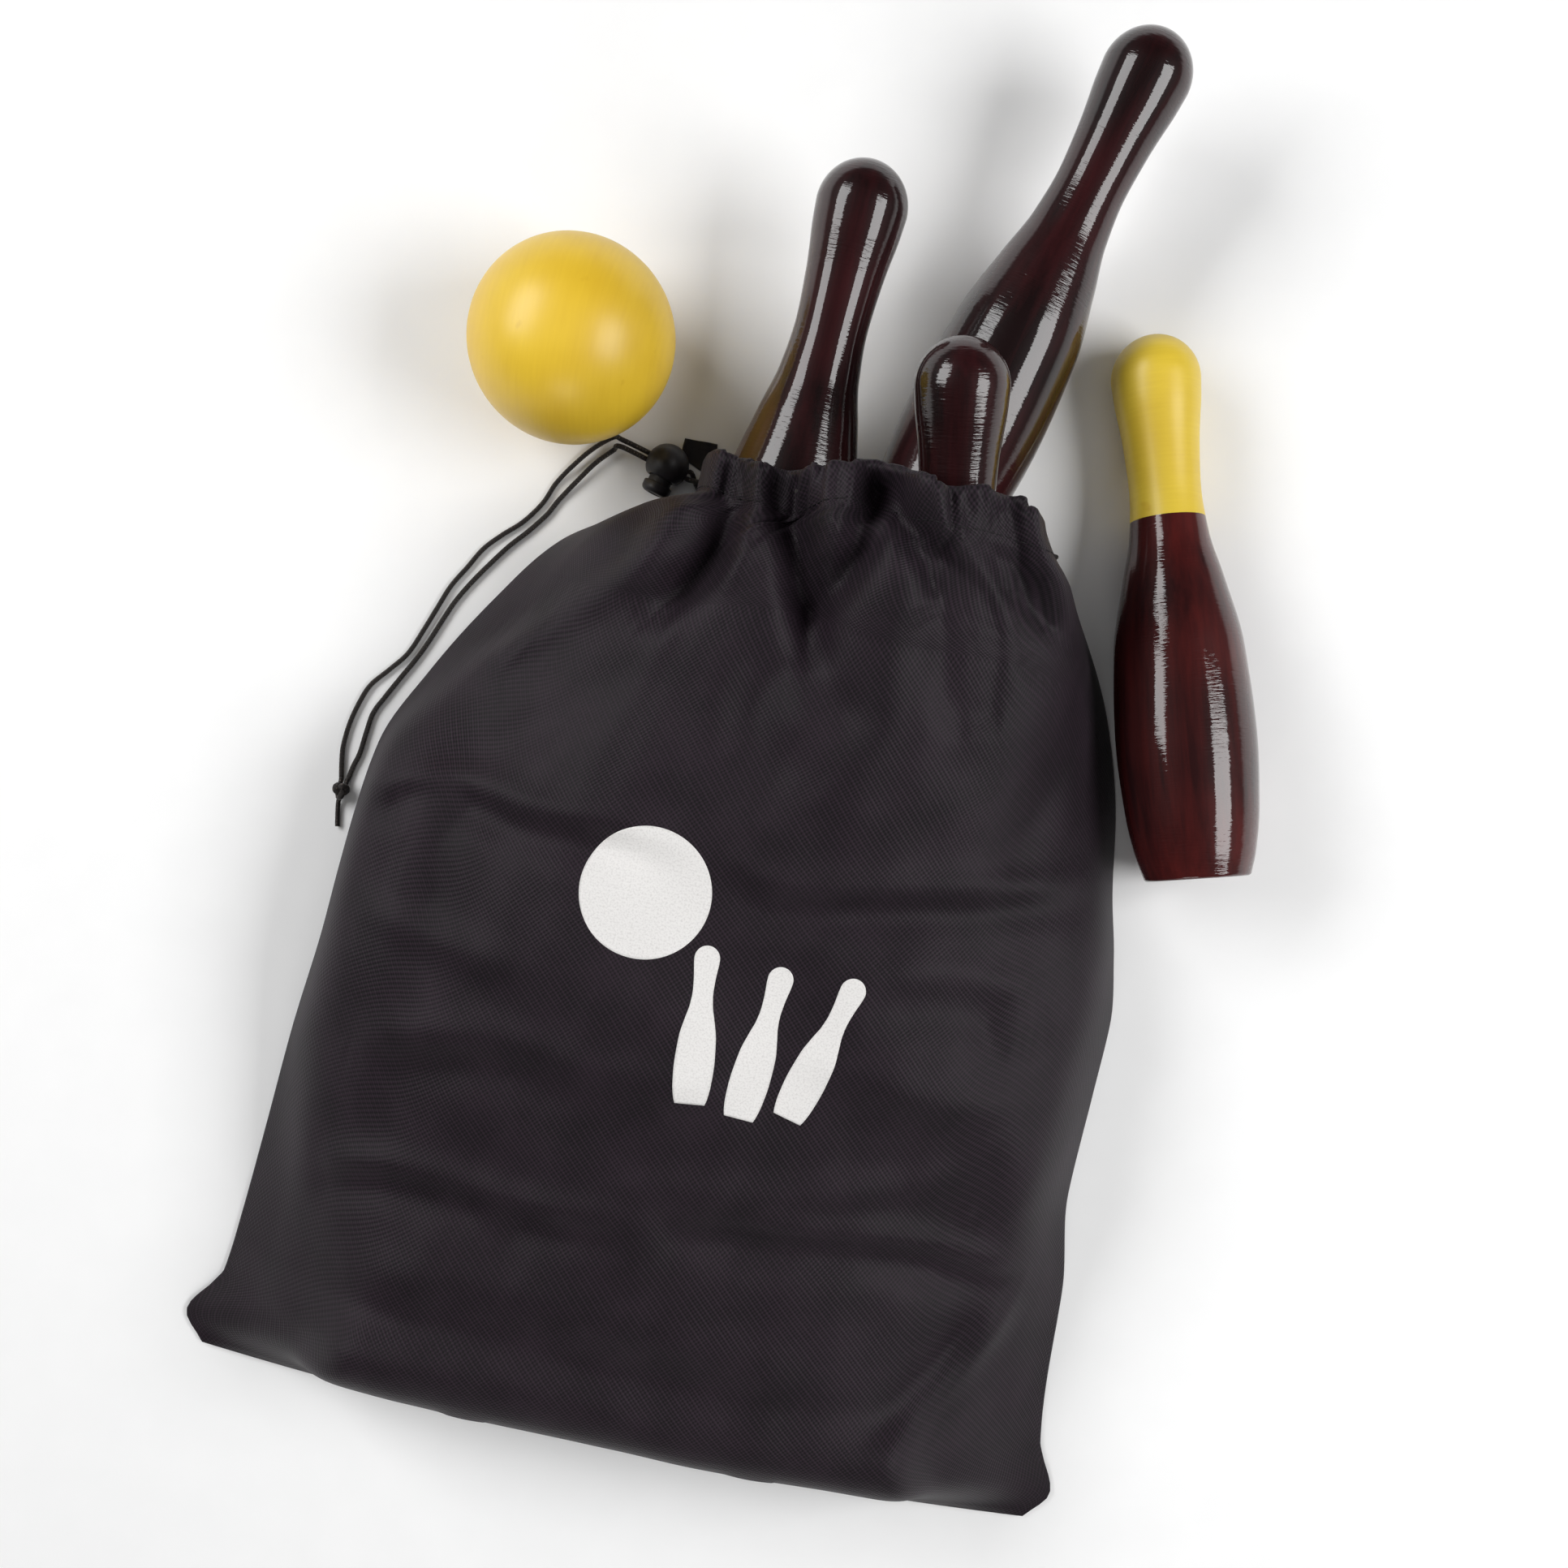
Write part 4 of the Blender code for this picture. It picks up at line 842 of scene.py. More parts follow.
# %% Folds along lines
# Each fold: its line in millimetres, then its rise (negative is a valley) and its half width.
FOLDS = (
    (((-40, 184), (-51, 146), (-76, 125), (-98, 105), (-126, 88)), 8.0, 8.5),
    (((-47, 172), (-62, 140), (-90, 118), (-120, 96)), -5.5, 7.0),
    (((-25, 187), (-25, 163), (-30, 145), (-48, 118)), -12.0, 6.0),
    (((-19, 187), (-17, 162), (-22, 136)), 4.5, 4.5),
    (((-12, 187), (-1, 162), (4, 148), (10, 134), (16, 116)), -17.0, 6.5),
    (((-4, 188), (8, 168), (13, 154)), 4.5, 4.0),
    (((24, 188), (21, 163), (16, 146), (10, 132)), -12.0, 6.0),
    (((15, 190), (14, 170), (12, 152)), 3.5, 3.8),
    (((17, 189), (30, 178), (42, 165), (60, 150), (78, 132)), -12.0, 7.0),
    (((32, 189), (46, 172), (64, 158), (86, 136)), 5.5, 6.5),
    (((48, 188), (58, 168), (74, 152), (98, 126)), -6.5, 6.5),
    (((65, 187), (70, 169), (83, 155), (106, 142)), -11.0, 6.0),
    (((74, 188), (82, 172), (96, 158)), 5.0, 5.0),
    (((52, 150), (64, 132), (72, 106)), -7.5, 14.0),
    (((4, 120), (-2, 98), (8, 84), (28, 78)), -4.5, 11.0),
    (((9, 132), (20, 112), (40, 96)), -4.0, 8.0),
    (((-131, 47), (-96, 56), (-72, 52), (-38, 52), (-10, 48)), 3.4, 5.0),
    (((-131, 38), (-96, 46), (-72, 42), (-38, 42), (-10, 38)), -3.4, 6.5),
    (((4, 47), (21, 43), (58, 50), (91, 57), (140, 68)), 3.2, 4.5),
    (((4, 38), (21, 34), (58, 41), (91, 48), (140, 58)), -3.8, 6.5),
    (((-117, -88), (-91, -83), (-41, -85), (2, -80)), 3.2, 5.0),
    (((-117, -97), (-91, -92), (-41, -94), (2, -89)), -3.2, 6.5),
    (((12, -77), (42, -74), (86, -71), (125, -75), (152, -76)), 3.4, 4.4),
    (((12, -86), (42, -83), (86, -80), (125, -84), (152, -85)), -3.8, 6.5),
    (((-8, -70), (35, -65), (81, -52), (114, -42)), 3.0, 6.0),
    (((-110, -40), (-70, -30), (-30, -34), (20, -28)), 2.4, 7.0),
    (((-104, -50), (-66, -41), (-30, -45)), -2.0, 7.0),
    (((-120, 4), (-86, -2), (-58, -6)), 2.6, 6.0),
    (((58, 20), (88, 26), (124, 22)), 2.6, 6.0),
    (((64, 6), (92, 10), (128, 4)), -2.4, 8.0),
    (((40, -14), (84, -20), (128, -12)), 2.4, 7.0),
    (((89, -150), (108, -130), (125, -105), (140, -77)), 4.5, 6.5),
    (((78, -160), (98, -136), (114, -112), (128, -84)), -3.6, 6.0),
    (((-120, -150), (-70, -148), (-10, -152), (50, -160)), 3.0, 9.0),
    (((-100, -122), (-40, -118), (30, -124), (70, -132)), 2.2, 9.0),
    (((-100, 60), (-70, 84), (-44, 112)), -3.4, 10.0),
    (((-128, 72), (-104, 92), (-84, 118)), 2.4, 8.0),
    (((96, 60), (104, 92), (112, 118)), -3.4, 9.0),
)


def line_fold(keys, rise, width):
    """The rise of one fold at each point of the grid, tapering towards both ends of its line."""
    line = smooth_line(np.array(keys, dtype=float) * MM, 3 * MM)
    share = np.linspace(0, 1, len(line))
    away = np.hypot(X[..., None] - line[:, 0], Y[..., None] - line[:, 1])
    near = away.argmin(axis=2)
    taper = np.clip(np.minimum((share + 0.12) / 0.25, (1 - share) / 0.3), 0, 1)[near]
    return rise * MM * taper * np.exp(-((away.min(axis=2) / (width * MM)) ** 2))


folds = sum(line_fold(*fold) for fold in FOLDS)
print("folds from", round(float(folds.min()) / MM, 1), "to", round(float(folds.max()) / MM, 1), "mm")

# %% Gathers and broad waves
chance = np.random.default_rng(7)
PLEAT, WIDE_GATHER, NARROW_GATHER = 1.8 * MM, 0.8 * MM, 0.22 * MM
PLEAT_REACH, WIDE_REACH, NARROW_REACH = 34 * MM, 22 * MM, 11 * MM
LIFT, LIFT_REACH = 8.2 * MM, 62 * MM
PILLOW, PILLOW_REACH = 6.0 * MM, 46 * MM


def waves(count, shortest, longest, height):
    """Broad, shallow waves in several directions, the same on every run."""
    total = np.zeros_like(X)
    for _ in range(count):
        turn, phase = chance.uniform(0, 2 * math.pi, 2)
        length = chance.uniform(shortest, longest) * MM
        total += np.sin(2 * math.pi * (X * math.cos(turn) + Y * math.sin(turn)) / length + phase)
    return total * height * MM / math.sqrt(count)


bend = 0.35 * np.sin(2 * math.pi * 3.1 * U + 0.7) + 0.25 * np.sin(2 * math.pi * 5.3 * U + 2.0)
swell = 0.55 + 0.45 * np.sin(2 * math.pi * 3.3 * U + 1.0)
# Each row of waves across the mouth: its height, how many there are, and how far down it reaches.
pleats = PLEAT * np.cos(2 * math.pi * (6.6 * U + bend)) * np.exp(-to_mouth / PLEAT_REACH)
wide = WIDE_GATHER * swell * np.cos(2 * math.pi * (14 * U + 1.6 * bend))
narrow = NARROW_GATHER * np.cos(2 * math.pi * (27 * U - 1.5 * bend))
gathers = wide * np.exp(-((to_mouth / WIDE_REACH) ** 2))
gathers += narrow * np.exp(-((to_mouth / NARROW_REACH) ** 2))
# At the right end the hem turns down over the shoulder and is pulled smooth.
shoulder = 1 - 0.8 * smooth_share(U, 0.74, 0.88)
pleats, gathers = pleats * shoulder, gathers * shoulder
away_from_seams = off_sides(0, 0.08) * smooth_share(V, 0, 0.06)
broad = waves(9, 55, 130, 1.9) + waves(12, 18, 40, 0.35)
lift = LIFT * np.exp(-((to_mouth / LIFT_REACH) ** 2))
sheet_height = sheet_height + (folds + pleats + broad + lift) * away_from_seams
sheet_height = np.maximum(sheet_height, least)
# Over the pins' ends the cloth is rounded like a pillow, so the bottom shows no hard edge.
from_bottom = V * (front_mouth(U) - BAG_BOTTOM)
pillow = PILLOW * np.sin(math.pi * np.clip(from_bottom / PILLOW_REACH, 0, 1))
sheet_height = sheet_height + pillow * away_from_seams
near_end = smooth_share(-from_bottom, -45 * MM, -26 * MM)
sheet_height = sheet_height + (soften(sheet_height.copy(), 9) - sheet_height) * near_end
sheet_height = np.maximum(soften(sheet_height, 2), over_pins - 0.2 * MM)
for edge in (np.s_[:, 0], np.s_[:, -1], np.s_[0]):
    sheet_height[edge] = seam_height[edge]
print("cloth with folds stands up to", round(float(sheet_height.max()) / MM, 1), "mm")

# %% [markdown]
# ## Sewing the panel and its hem
#
# The hem is the panel's own cloth, turned over at the mouth and stitched down, so that it makes a
# tunnel for the cord. The grid of points is therefore carried on past the mouth: round a small turn,
# then back down on the inside as far as the stitches. Given a thickness, it becomes cloth with a
# real, open tunnel.

# %% Cloth from a grid
def grid_normals(grid):
    """The unit normal at each point of a grid, across times along."""
    return unit(np.cross(np.gradient(grid, axis=1), np.gradient(grid, axis=0)))


def with_hem(outer, base, normals, hem_rows):
    """Carries the outer face's rows round the mouth and down the inside to the stitches."""
    middle = list(outer - normals * CLOTH / 2)
    edge, lean = outer[-1], normals[-1]
    ahead = unit(base[-1] - base[-2])
    reach = (HEM_THICKNESS - CLOTH) / 2
    for turn in np.radians((36, 72, 108, 144)):
        swing = math.cos(turn) * lean + math.sin(turn) * ahead
        middle.append(edge - lean * HEM_THICKNESS / 2 + reach * swing)
    for back in range(hem_rows):
        row = -1 - back
        closed = smooth_share(back / (hem_rows - 1), 0.72, 1.0)
        inset = CLOTH * 0.5 + (HEM_THICKNESS - CLOTH) * (1 - 0.72 * closed)
        middle.append(base[row] - normals[row] * inset)
    return np.array(middle)


def cloth_piece(name, middle, finish, body, replaces):
    """A closed sheet of the cloth's thickness round a grid of middle points, with a map in millimetres."""
    half = grid_normals(middle) * CLOTH / 2
    points = np.concatenate([(middle + half).reshape(-1, 3), (middle - half).reshape(-1, 3)])
    piece = make_piece(name, points, sheet_faces(*middle.shape[:2]), [finish], body, replaces)
    # The threads run as on the cloth before it was folded, so the map is measured on a smoothed copy.
    calm = np.dstack([soften(middle[..., axis].copy(), 60) for axis in range(3)])
    across = np.linalg.norm(np.diff(calm, axis=1, prepend=calm[:, :1]), axis=2).cumsum(axis=1)
    across -= across[:, [middle.shape[1] // 2]]
    along = np.linalg.norm(np.diff(calm, axis=0, prepend=calm[:1]), axis=2).cumsum(axis=0)
    thread = np.stack([soften(across, 40), soften(along, 40)], axis=2).reshape(-1, 2) / MM
    give_point_uv(piece, np.concatenate([thread, thread]))
    return piece


print("cloth tools ready")

# %% [markdown]
# ## Black woven cloth
#
# The bag is a plain matt polyester, dyed black. The photograph shows ribs about a millimetre apart,
# too fine for a clean picture, so the weave is drawn somewhat coarser: small raised steps that break
# the light. A little sheen lifts the colour where the cloth turns away, and the dye is a touch
# warmer in places.

# %% The cloth's finish
# How far the weave's pattern turns, in radians for each millimetre, at one step in 1.7 mm.
WEAVE = 2 * math.pi / 1.7


def woven_finish(name, dark, light):
    """Matt woven polyester: near black, with a fine diagonal weave and a faint sheen."""
    matt = {"Sheen_Weight": 0.03, "Sheen_Roughness": 0.4, "Specular_IOR_Level": 0.22}
    finish, tree, shader = new_finish(name, Roughness=0.58, **matt)
    uv = add(tree, "ShaderNodeUVMap", uv_map="weave")
    wander = noise(tree, uv, 0.03, 1).outputs["Color"]
    shifted = add(tree, "ShaderNodeVectorMath", {0: wander, 1: (0.5, 0.5, 0.5)}, operation="SUBTRACT")
    steps = {0: shifted, 1: (0.5, 0.5, 0), 2: uv}
    wavy = add(tree, "ShaderNodeVectorMath", steps, operation="MULTIPLY_ADD")
    across, along = add(tree, "ShaderNodeSeparateXYZ", {0: wavy}).outputs[:2]
    threads = [maths(tree, "SINE", maths(tree, "MULTIPLY", way, WEAVE)) for way in (across, along)]
    slope = maths(tree, "MULTIPLY", maths(tree, "ADD", across, along), WEAVE / 2)
    cross = maths(tree, "MULTIPLY", *threads)
    relief = maths(tree, "MULTIPLY_ADD", maths(tree, "SINE", slope), 0.2, cross)
    cloudy = maths(tree, "MULTIPLY_ADD", relief, 0.6, noise(tree, uv, 0.045, 3))
    complete(shader, between(tree, spread(tree, cloudy, 0.05, 1), dark, light), relief, 0.55, 0.12)
    return finish


bag_cloth = woven_finish("bag_woven_polyester", "#0D090D", "#2B2029")
print("cloth:", bag_cloth.name)

# %% The front panel with its hem
base = np.dstack([X, Y, sheet_height])
base_normals = grid_normals(base)
ripple = base_normals * (gathers * away_from_seams)[..., None]
outer_face, inner_base = base + ripple, base + 0.4 * ripple
hem_count = int(np.sum(to_mouth[:, HEM_COLUMN] < HEM_DEPTH)) + 2
stitch_row = U.shape[0] - hem_count + 2
front_middle = with_hem(outer_face, inner_base, base_normals, hem_count)
covered = ["bag_front_panel", "front_casing"]
front = cloth_piece("bag_front_cloth", front_middle, bag_cloth, "bag", covered)
area = sum(polygon.area for polygon in front.data.polygons) / 2
print("front cloth area", round(area, 4), "hem rows", hem_count)

# %% The back panel with its hem
back_rows = np.concatenate([np.linspace(0, 0.95, 50), np.linspace(0.955, 1, 8)])
BU, BV = np.meshgrid(np.linspace(0, 1, 61), back_rows)
BX, BY = bag_plan(BU, BV, back_mouth)
back_face = np.dstack([BX, BY, np.zeros_like(BX)])
down = np.zeros_like(back_face)
down[..., 2] = -1
back_middle = with_hem(back_face, back_face, down, 7)
covered = ["bag_back_panel", "back_casing"]
back = cloth_piece("bag_back_cloth", back_middle[:, ::-1], bag_cloth, "bag", covered)
print("back cloth faces:", len(back.data.polygons))

# %% [markdown]
# ## The drawcord in its tunnel
#
# One cord runs round the mouth inside the hems: in at the left end of the front hem, out at the
# right end, and back through the back hem. It follows the middle of each tunnel, so its line is read
# from the same grids that the hems were made from.

# %% The drawcord
CHANNEL_DEPTH = 5.5 * MM


def channel_line(grid, normals, distances, inset):
    """The line through the middle of a hem's tunnel, from left to right."""
    row = int(np.argmax(distances < CHANNEL_DEPTH))
    return (grid[row] - normals[row] * inset)[::3]


tunnel_middle = HEM_THICKNESS / 2
tunnel = base + base_normals * 0.7 * gathers[..., None]
front_channel = channel_line(tunnel, base_normals, to_mouth[:, HEM_COLUMN], tunnel_middle)
back_distance = (1 - back_rows) * (back_mouth(0.5) - BAG_BOTTOM)
back_channel = channel_line(back_face, down, back_distance, tunnel_middle)[::-1]
lock_in = LOCK_CENTRE - LOCK_ALONG * LOCK_RADIUS
start, end = lock_in + LOCK_OUT * STRAND_SPREAD, lock_in - LOCK_OUT * STRAND_SPREAD
right_turn = (front_channel[-1] + back_channel[0]) / 2 + np.array((4.5, 0, 0)) * MM
drawcord_keys = [np.array(start), np.array(start - LOCK_ALONG * 1.5 * MM), *front_channel]
drawcord_keys += [right_turn, *back_channel, np.array(end - LOCK_ALONG * 1.5 * MM), np.array(end)]
drawcord_line = smooth_line(drawcord_keys, 0.8 * MM)
drawcord = braided_tube("drawcord_braid", drawcord_line, CORD_RADIUS, "bag", ["drawcord"])
print("drawcord faces:", len(drawcord.data.polygons))

# %% [markdown]
# ## Stitches
#
# Each hem is held by one line of lockstitch. A stitch is a short thick thread that dips into the
# cloth at both ends, and there are dozens of them in a row, which is work for Geometry Nodes: a
# curve along the stitch line, points at the stitch's pitch, and a small thread on each point turned
# along the curve. The sizes are inputs of the tree, so another thread is one number away.

# %% Stitches by Geometry Nodes
thread_finish, tree, shader = new_finish("stitch_thread_polyester", Roughness=0.7, Specular_IOR_Level=0.3)
place = add(tree, "ShaderNodeTexCoord").outputs["Object"]
# Twisted thread: slanting bands a third of a millimetre apart.
bands = {"Vector": place, "Scale": 900.0, "Distortion": 1.5}
twist = add(tree, "ShaderNodeTexWave", bands, bands_direction="DIAGONAL").outputs["Fac"]
complete(shader, between(tree, twist, "#100E0F", "#221E21"))

STITCH_PITCH = 3.3 * MM
stitch_tree = bpy.data.node_groups.new("lockstitch_row", "GeometryNodeTree")
sockets = (
    ("Pitch", "Float", STITCH_PITCH), ("Length", "Float", 2.6 * MM), ("Thread", "Float", 0.5 * MM),
    ("Seed", "Int", 3))
stitch_tree.interface.new_socket("Line", in_out="INPUT", socket_type="NodeSocketGeometry")
for socket, kind, value in sockets:
    made = stitch_tree.interface.new_socket(socket, in_out="INPUT", socket_type=f"NodeSocket{kind}")
    made.default_value = value
stitch_tree.interface.new_socket("Stitches", in_out="OUTPUT", socket_type="NodeSocketGeometry")
given = add(stitch_tree, "NodeGroupInput").outputs
curve = add(stitch_tree, "GeometryNodeMeshToCurve", {"Mesh": given["Line"]})
pitch = {"Curve": curve, "Length": given["Pitch"]}
spaced = add(stitch_tree, "GeometryNodeResampleCurve", pitch, mode="LENGTH")
spots = add(stitch_tree, "GeometryNodeCurveToPoints", {"Curve": spaced}, mode="EVALUATED").outputs
bead = add(stitch_tree, "GeometryNodeMeshUVSphere", {"Segments": 6, "Rings": 5, "Radius": 0.5})
chances = {2: 0.88, 3: 1.08, "Seed": given["Seed"]}
wobble = add(stitch_tree, "FunctionNodeRandomValue", chances, data_type="FLOAT").outputs[1]
long = maths(stitch_tree, "MULTIPLY", given["Length"], wobble)
thread = given["Thread"]
size = add(stitch_tree, "ShaderNodeCombineXYZ", {"X": thread, "Y": thread, "Z": long})
turned_along = {"Vector": spots["Tangent"]}
along_line = add(stitch_tree, "FunctionNodeAlignRotationToVector", turned_along, axis="Z")
rowed = add(stitch_tree, "GeometryNodeInstanceOnPoints", {
    "Points": spots["Points"], "Instance": bead, "Rotation": along_line, "Scale": size})
real = add(stitch_tree, "GeometryNodeRealizeInstances", {0: rowed})
sewn = add(stitch_tree, "GeometryNodeSetMaterial", {"Geometry": real, "Material": thread_finish})
add(stitch_tree, "NodeGroupOutput", {0: sewn})


def stitch_row_along(name, lines, **sizes):
    """Bakes one piece of stitches along the lines."""
    points = [point for line in lines for point in line]
    starts = np.cumsum([0] + [len(line) for line in lines])
    edges = [(k, k + 1) for a, b in zip(starts, starts[1:]) for k in range(a, b - 1)]
    source = show(f"{name}_line", new_mesh(name, points, [], edges))
    modifier = source.modifiers.new("stitches", "NODES")
    modifier.node_group = stitch_tree
    for item in stitch_tree.interface.items_tree:
        if item.name in sizes:
            modifier[item.identifier] = sizes[item.name]
    baked = as_evaluated(source)
    bpy.data.objects.remove(source)
    baked.shade_smooth()
    piece = show(name, baked)
    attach(piece, "bag")
    return piece


front_stitches = (outer_face + base_normals * 0.10 * MM)[stitch_row, 2:-2]
back_stitches = back_middle[-1, 2:-2] + np.array((0, 0, 0.5)) * MM
stitches = stitch_row_along("hem_stitches", [front_stitches, back_stitches], Pitch=STITCH_PITCH, Seed=5)
print("stitch faces:", len(stitches.data.polygons))

# %% [markdown]
# ## The tab at the cord's way out
#
# A scrap of smooth, coated cloth is sewn in where the cord leaves the hem. It is flat and a little
# shiny, and its free corner curls up from the ground. Its outline is an uneven five-sided one,
# filled with a fine grid so that it can curl.

# %% The tab
TAB = np.array(((-41.8, 187.3), (-37.1, 185.2), (-38.8, 199.0), (-51.3, 198.5), (-51.8, 191.8))) * MM


def coated_finish(name, dark, light):
    """Coated cloth: smooth and half glossy, with fine creases in the coating."""
    finish, tree, shader = new_finish(name, Roughness=0.38, Coat_Weight=0.15, Coat_Roughness=0.35)
    place = add(tree, "ShaderNodeTexCoord").outputs["Object"]
    crease = noise(tree, place, 420, 4, Distortion=0.8)
    complete(shader, between(tree, crease, dark, light), crease, 0.5, 0.25)
    return finish


def tab_piece():
    """The tab: rings between its outline and its middle, thickened and curled at the far corner."""
    rim = []
    for a, b in zip(TAB, np.roll(TAB, -1, axis=0)):
        rim += [a + (b - a) * t for t in np.linspace(0, 1, 8, endpoint=False)]
    rim, middle = np.array(rim), TAB.mean(axis=0)
    points, sides = [], []
    for level in (0, CLOTH):
        rings = []
        for share in np.linspace(1, 0.06, 10):
            rings.append([len(points) + k for k in range(len(rim))])
            for x, y in middle + (rim - middle) * share:
                curl = 2.2 * MM * smooth_share(y - x * 0.35, 0.206, 0.2165)
                wave = 0.25 * MM * math.sin(x * 700) * smooth_share(y, 0.188, 0.196)
                points.append((x, y, level + 0.05 * MM + curl + wave))
        rings.append([len(points)] * len(rim))
        points.append(tuple(np.array(points[-len(rim):]).mean(axis=0)))
        sides.append(rings)
    return points, ring_faces(sides[0][::-1] + sides[1])


tab_finish = coated_finish("tab_coated_cloth", "#1C1A1C", "#343134")
tab_points, tab_faces = tab_piece()
tab = make_piece("hem_end_tab", tab_points, tab_faces, [tab_finish], "bag", ["casing_end_tab"])
print("tab faces:", len(tab_faces))

# %% [markdown]
# ## The cord lock
#
# The lock is a small ball of moulded black plastic with a sprung plunger in it. A slot goes through
# both, and the spring pushes the two slots out of line, which grips the cords. Both parts are turned
# outlines with rounded edges, and the slots are cut with an exact Boolean.

# %% The lock's plastic
plastic, tree, shader = new_finish("lock_moulded_abs", Roughness=0.42, IOR=1.53)
place = add(tree, "ShaderNodeTexCoord").outputs["Object"]
# A spark-eroded mould leaves a fine grain, and use wears it smooth in places.
grain, worn = noise(tree, place, 2600, 2), noise(tree, place, 240, 3)
feed(shader, {"Roughness": spread(tree, worn, 0.3, 0.7, 0.36, 0.55)})
complete(shader, between(tree, worn, "#161416", "#2A272A"), grain, 0.4, 0.06)
print("plastic:", plastic.name)

# %% The lock's body and plunger
LOCK_TURN = Matrix((LOCK_ALONG, LOCK_OUT.cross(LOCK_ALONG), LOCK_OUT)).transposed().to_4x4()
LOCK_MATRIX = Matrix.Translation(LOCK_CENTRE) @ LOCK_TURN
# Both parts are drawn in the lock's own millimetres.
BALL, BORE, MOUTH_HEIGHT, BORE_FLOOR, POCKET, POCKET_FLOOR = 8.2, 4.7, 5.6, -6.1, 2.4, -7.2
SHAFT, SHAFT_END, BUTTON, BUTTON_FOOT, BUTTON_TOP, BUTTON_EDGE = 4.4, -3.8, 5.5, 7.9, 11.9, 2.0
SLOT_HALF, SLOT_REACH, SLOT_LOW, SLOT_HIGH, BUTTON_SLOT_HIGH = 1.3, 12.0, -2.6, 2.6, 4.6
BODY_ROUND, BUTTON_ROUND, DIMPLE = 0.45, 0.3, 0.4


def rounded(outline, corners, radius, steps=4):
    """Rounds the numbered corners of an outline."""
    result = []
    for k, point in enumerate(np.array(outline, dtype=float)):
        if k not in corners:
            result.append(tuple(point))
            continue
        a, b = (point + unit(np.array(outline[j]) - point) * radius for j in (k - 1, k + 1))
        for t in np.linspace(0, 1, steps):
            result.append(tuple((1 - t) ** 2 * a + 2 * t * (1 - t) * point + t**2 * b))
    return result


def slotted(name, outline, slot_top, body, replaces):
    """A turned plastic part with the cord's slot cut through it."""
    points, faces = turned([(r * MM, z * MM) for r, z in outline], SEGMENTS)
    part = make_piece(name, points, faces, [plastic], body, [replaces])
    sides = ((-SLOT_REACH, SLOT_REACH), (-SLOT_HALF, SLOT_HALF), (SLOT_LOW, slot_top))
    corners = [(x * MM, y * MM, z * MM) for x in sides[0] for y in sides[1] for z in sides[2]]
    boxes = [(0, 1, 3, 2), (4, 6, 7, 5), (0, 4, 5, 1), (2, 3, 7, 6), (0, 2, 6, 4), (1, 5, 7, 3)]
    slot_cutter = show(f"{name}_slot", new_mesh(f"{name}_slot", corners, boxes))
    cut = part.modifiers.new("slot", "BOOLEAN")
    cut.operation, cut.solver, cut.object = "DIFFERENCE", "EXACT", slot_cutter
    baked = as_evaluated(part)
    part.modifiers.clear()
    bpy.data.objects.remove(slot_cutter)
    baked.transform(LOCK_MATRIX)
    baked.set_sharp_from_angle(angle=math.radians(35))
    part.data = baked
    return part


mouth_turn = math.degrees(math.asin(MOUTH_HEIGHT / BALL))
ball_part = [(0, -BALL), *arc((0, 0), (BALL, BALL), -90, mouth_turn, 30)[1:]]
pocket = [(BORE, MOUTH_HEIGHT), (BORE, BORE_FLOOR), (POCKET, BORE_FLOOR)]
pocket += [(POCKET, POCKET_FLOOR), (0, POCKET_FLOOR)]
body_outline = rounded(ball_part + pocket, (len(ball_part) - 1, len(ball_part)), BODY_ROUND)
lock_body = slotted("cord_lock_ball", body_outline, SLOT_HIGH, "cord_lock", "cord_lock_body")
shaft = [(0, SHAFT_END), (SHAFT, SHAFT_END), (SHAFT, BUTTON_FOOT), (BUTTON, BUTTON_FOOT)]
edge = (BUTTON - BUTTON_EDGE, BUTTON_TOP - BUTTON_EDGE)
cap = arc(edge, (BUTTON_EDGE, BUTTON_EDGE), 0, 90, 8)
cap += [(2.6, BUTTON_TOP), (2.3, BUTTON_TOP - 0.3), (0, BUTTON_TOP - DIMPLE)]
plunger_outline = rounded(shaft + cap, (1, 3), BUTTON_ROUND)
lock_plunger = slotted(
    "cord_lock_button", plunger_outline, BUTTON_SLOT_HIGH, "lock_plunger", "cord_lock_plunger")
print("lock faces:", len(lock_body.data.polygons), len(lock_plunger.data.polygons))

# %% [markdown]
# ## The spring
#
# A small compression spring pushes the plunger out. It is drawn steel wire, bright and a little
# streaky along its length, coiled in a few turns. When the plunger is pressed in, the coil shortens.

# %% The spring of steel wire
steel, tree, shader = new_finish("spring_drawn_steel_wire", Metallic=1.0, Roughness=0.3)
drawn = noise(tree, add(tree, "ShaderNodeTexCoord").outputs["Object"], 3000, 2)
complete(shader, between(tree, drawn, "#77787A", "#C2C3C6"))
WIRE_RADIUS, COIL_RADIUS, COIL_LOW, COIL_HIGH, COIL_TURNS = 0.2, 1.9, -6.9, -4.1, 3.5
COIL_POINTS, WIRE_SIDES = 100, 8


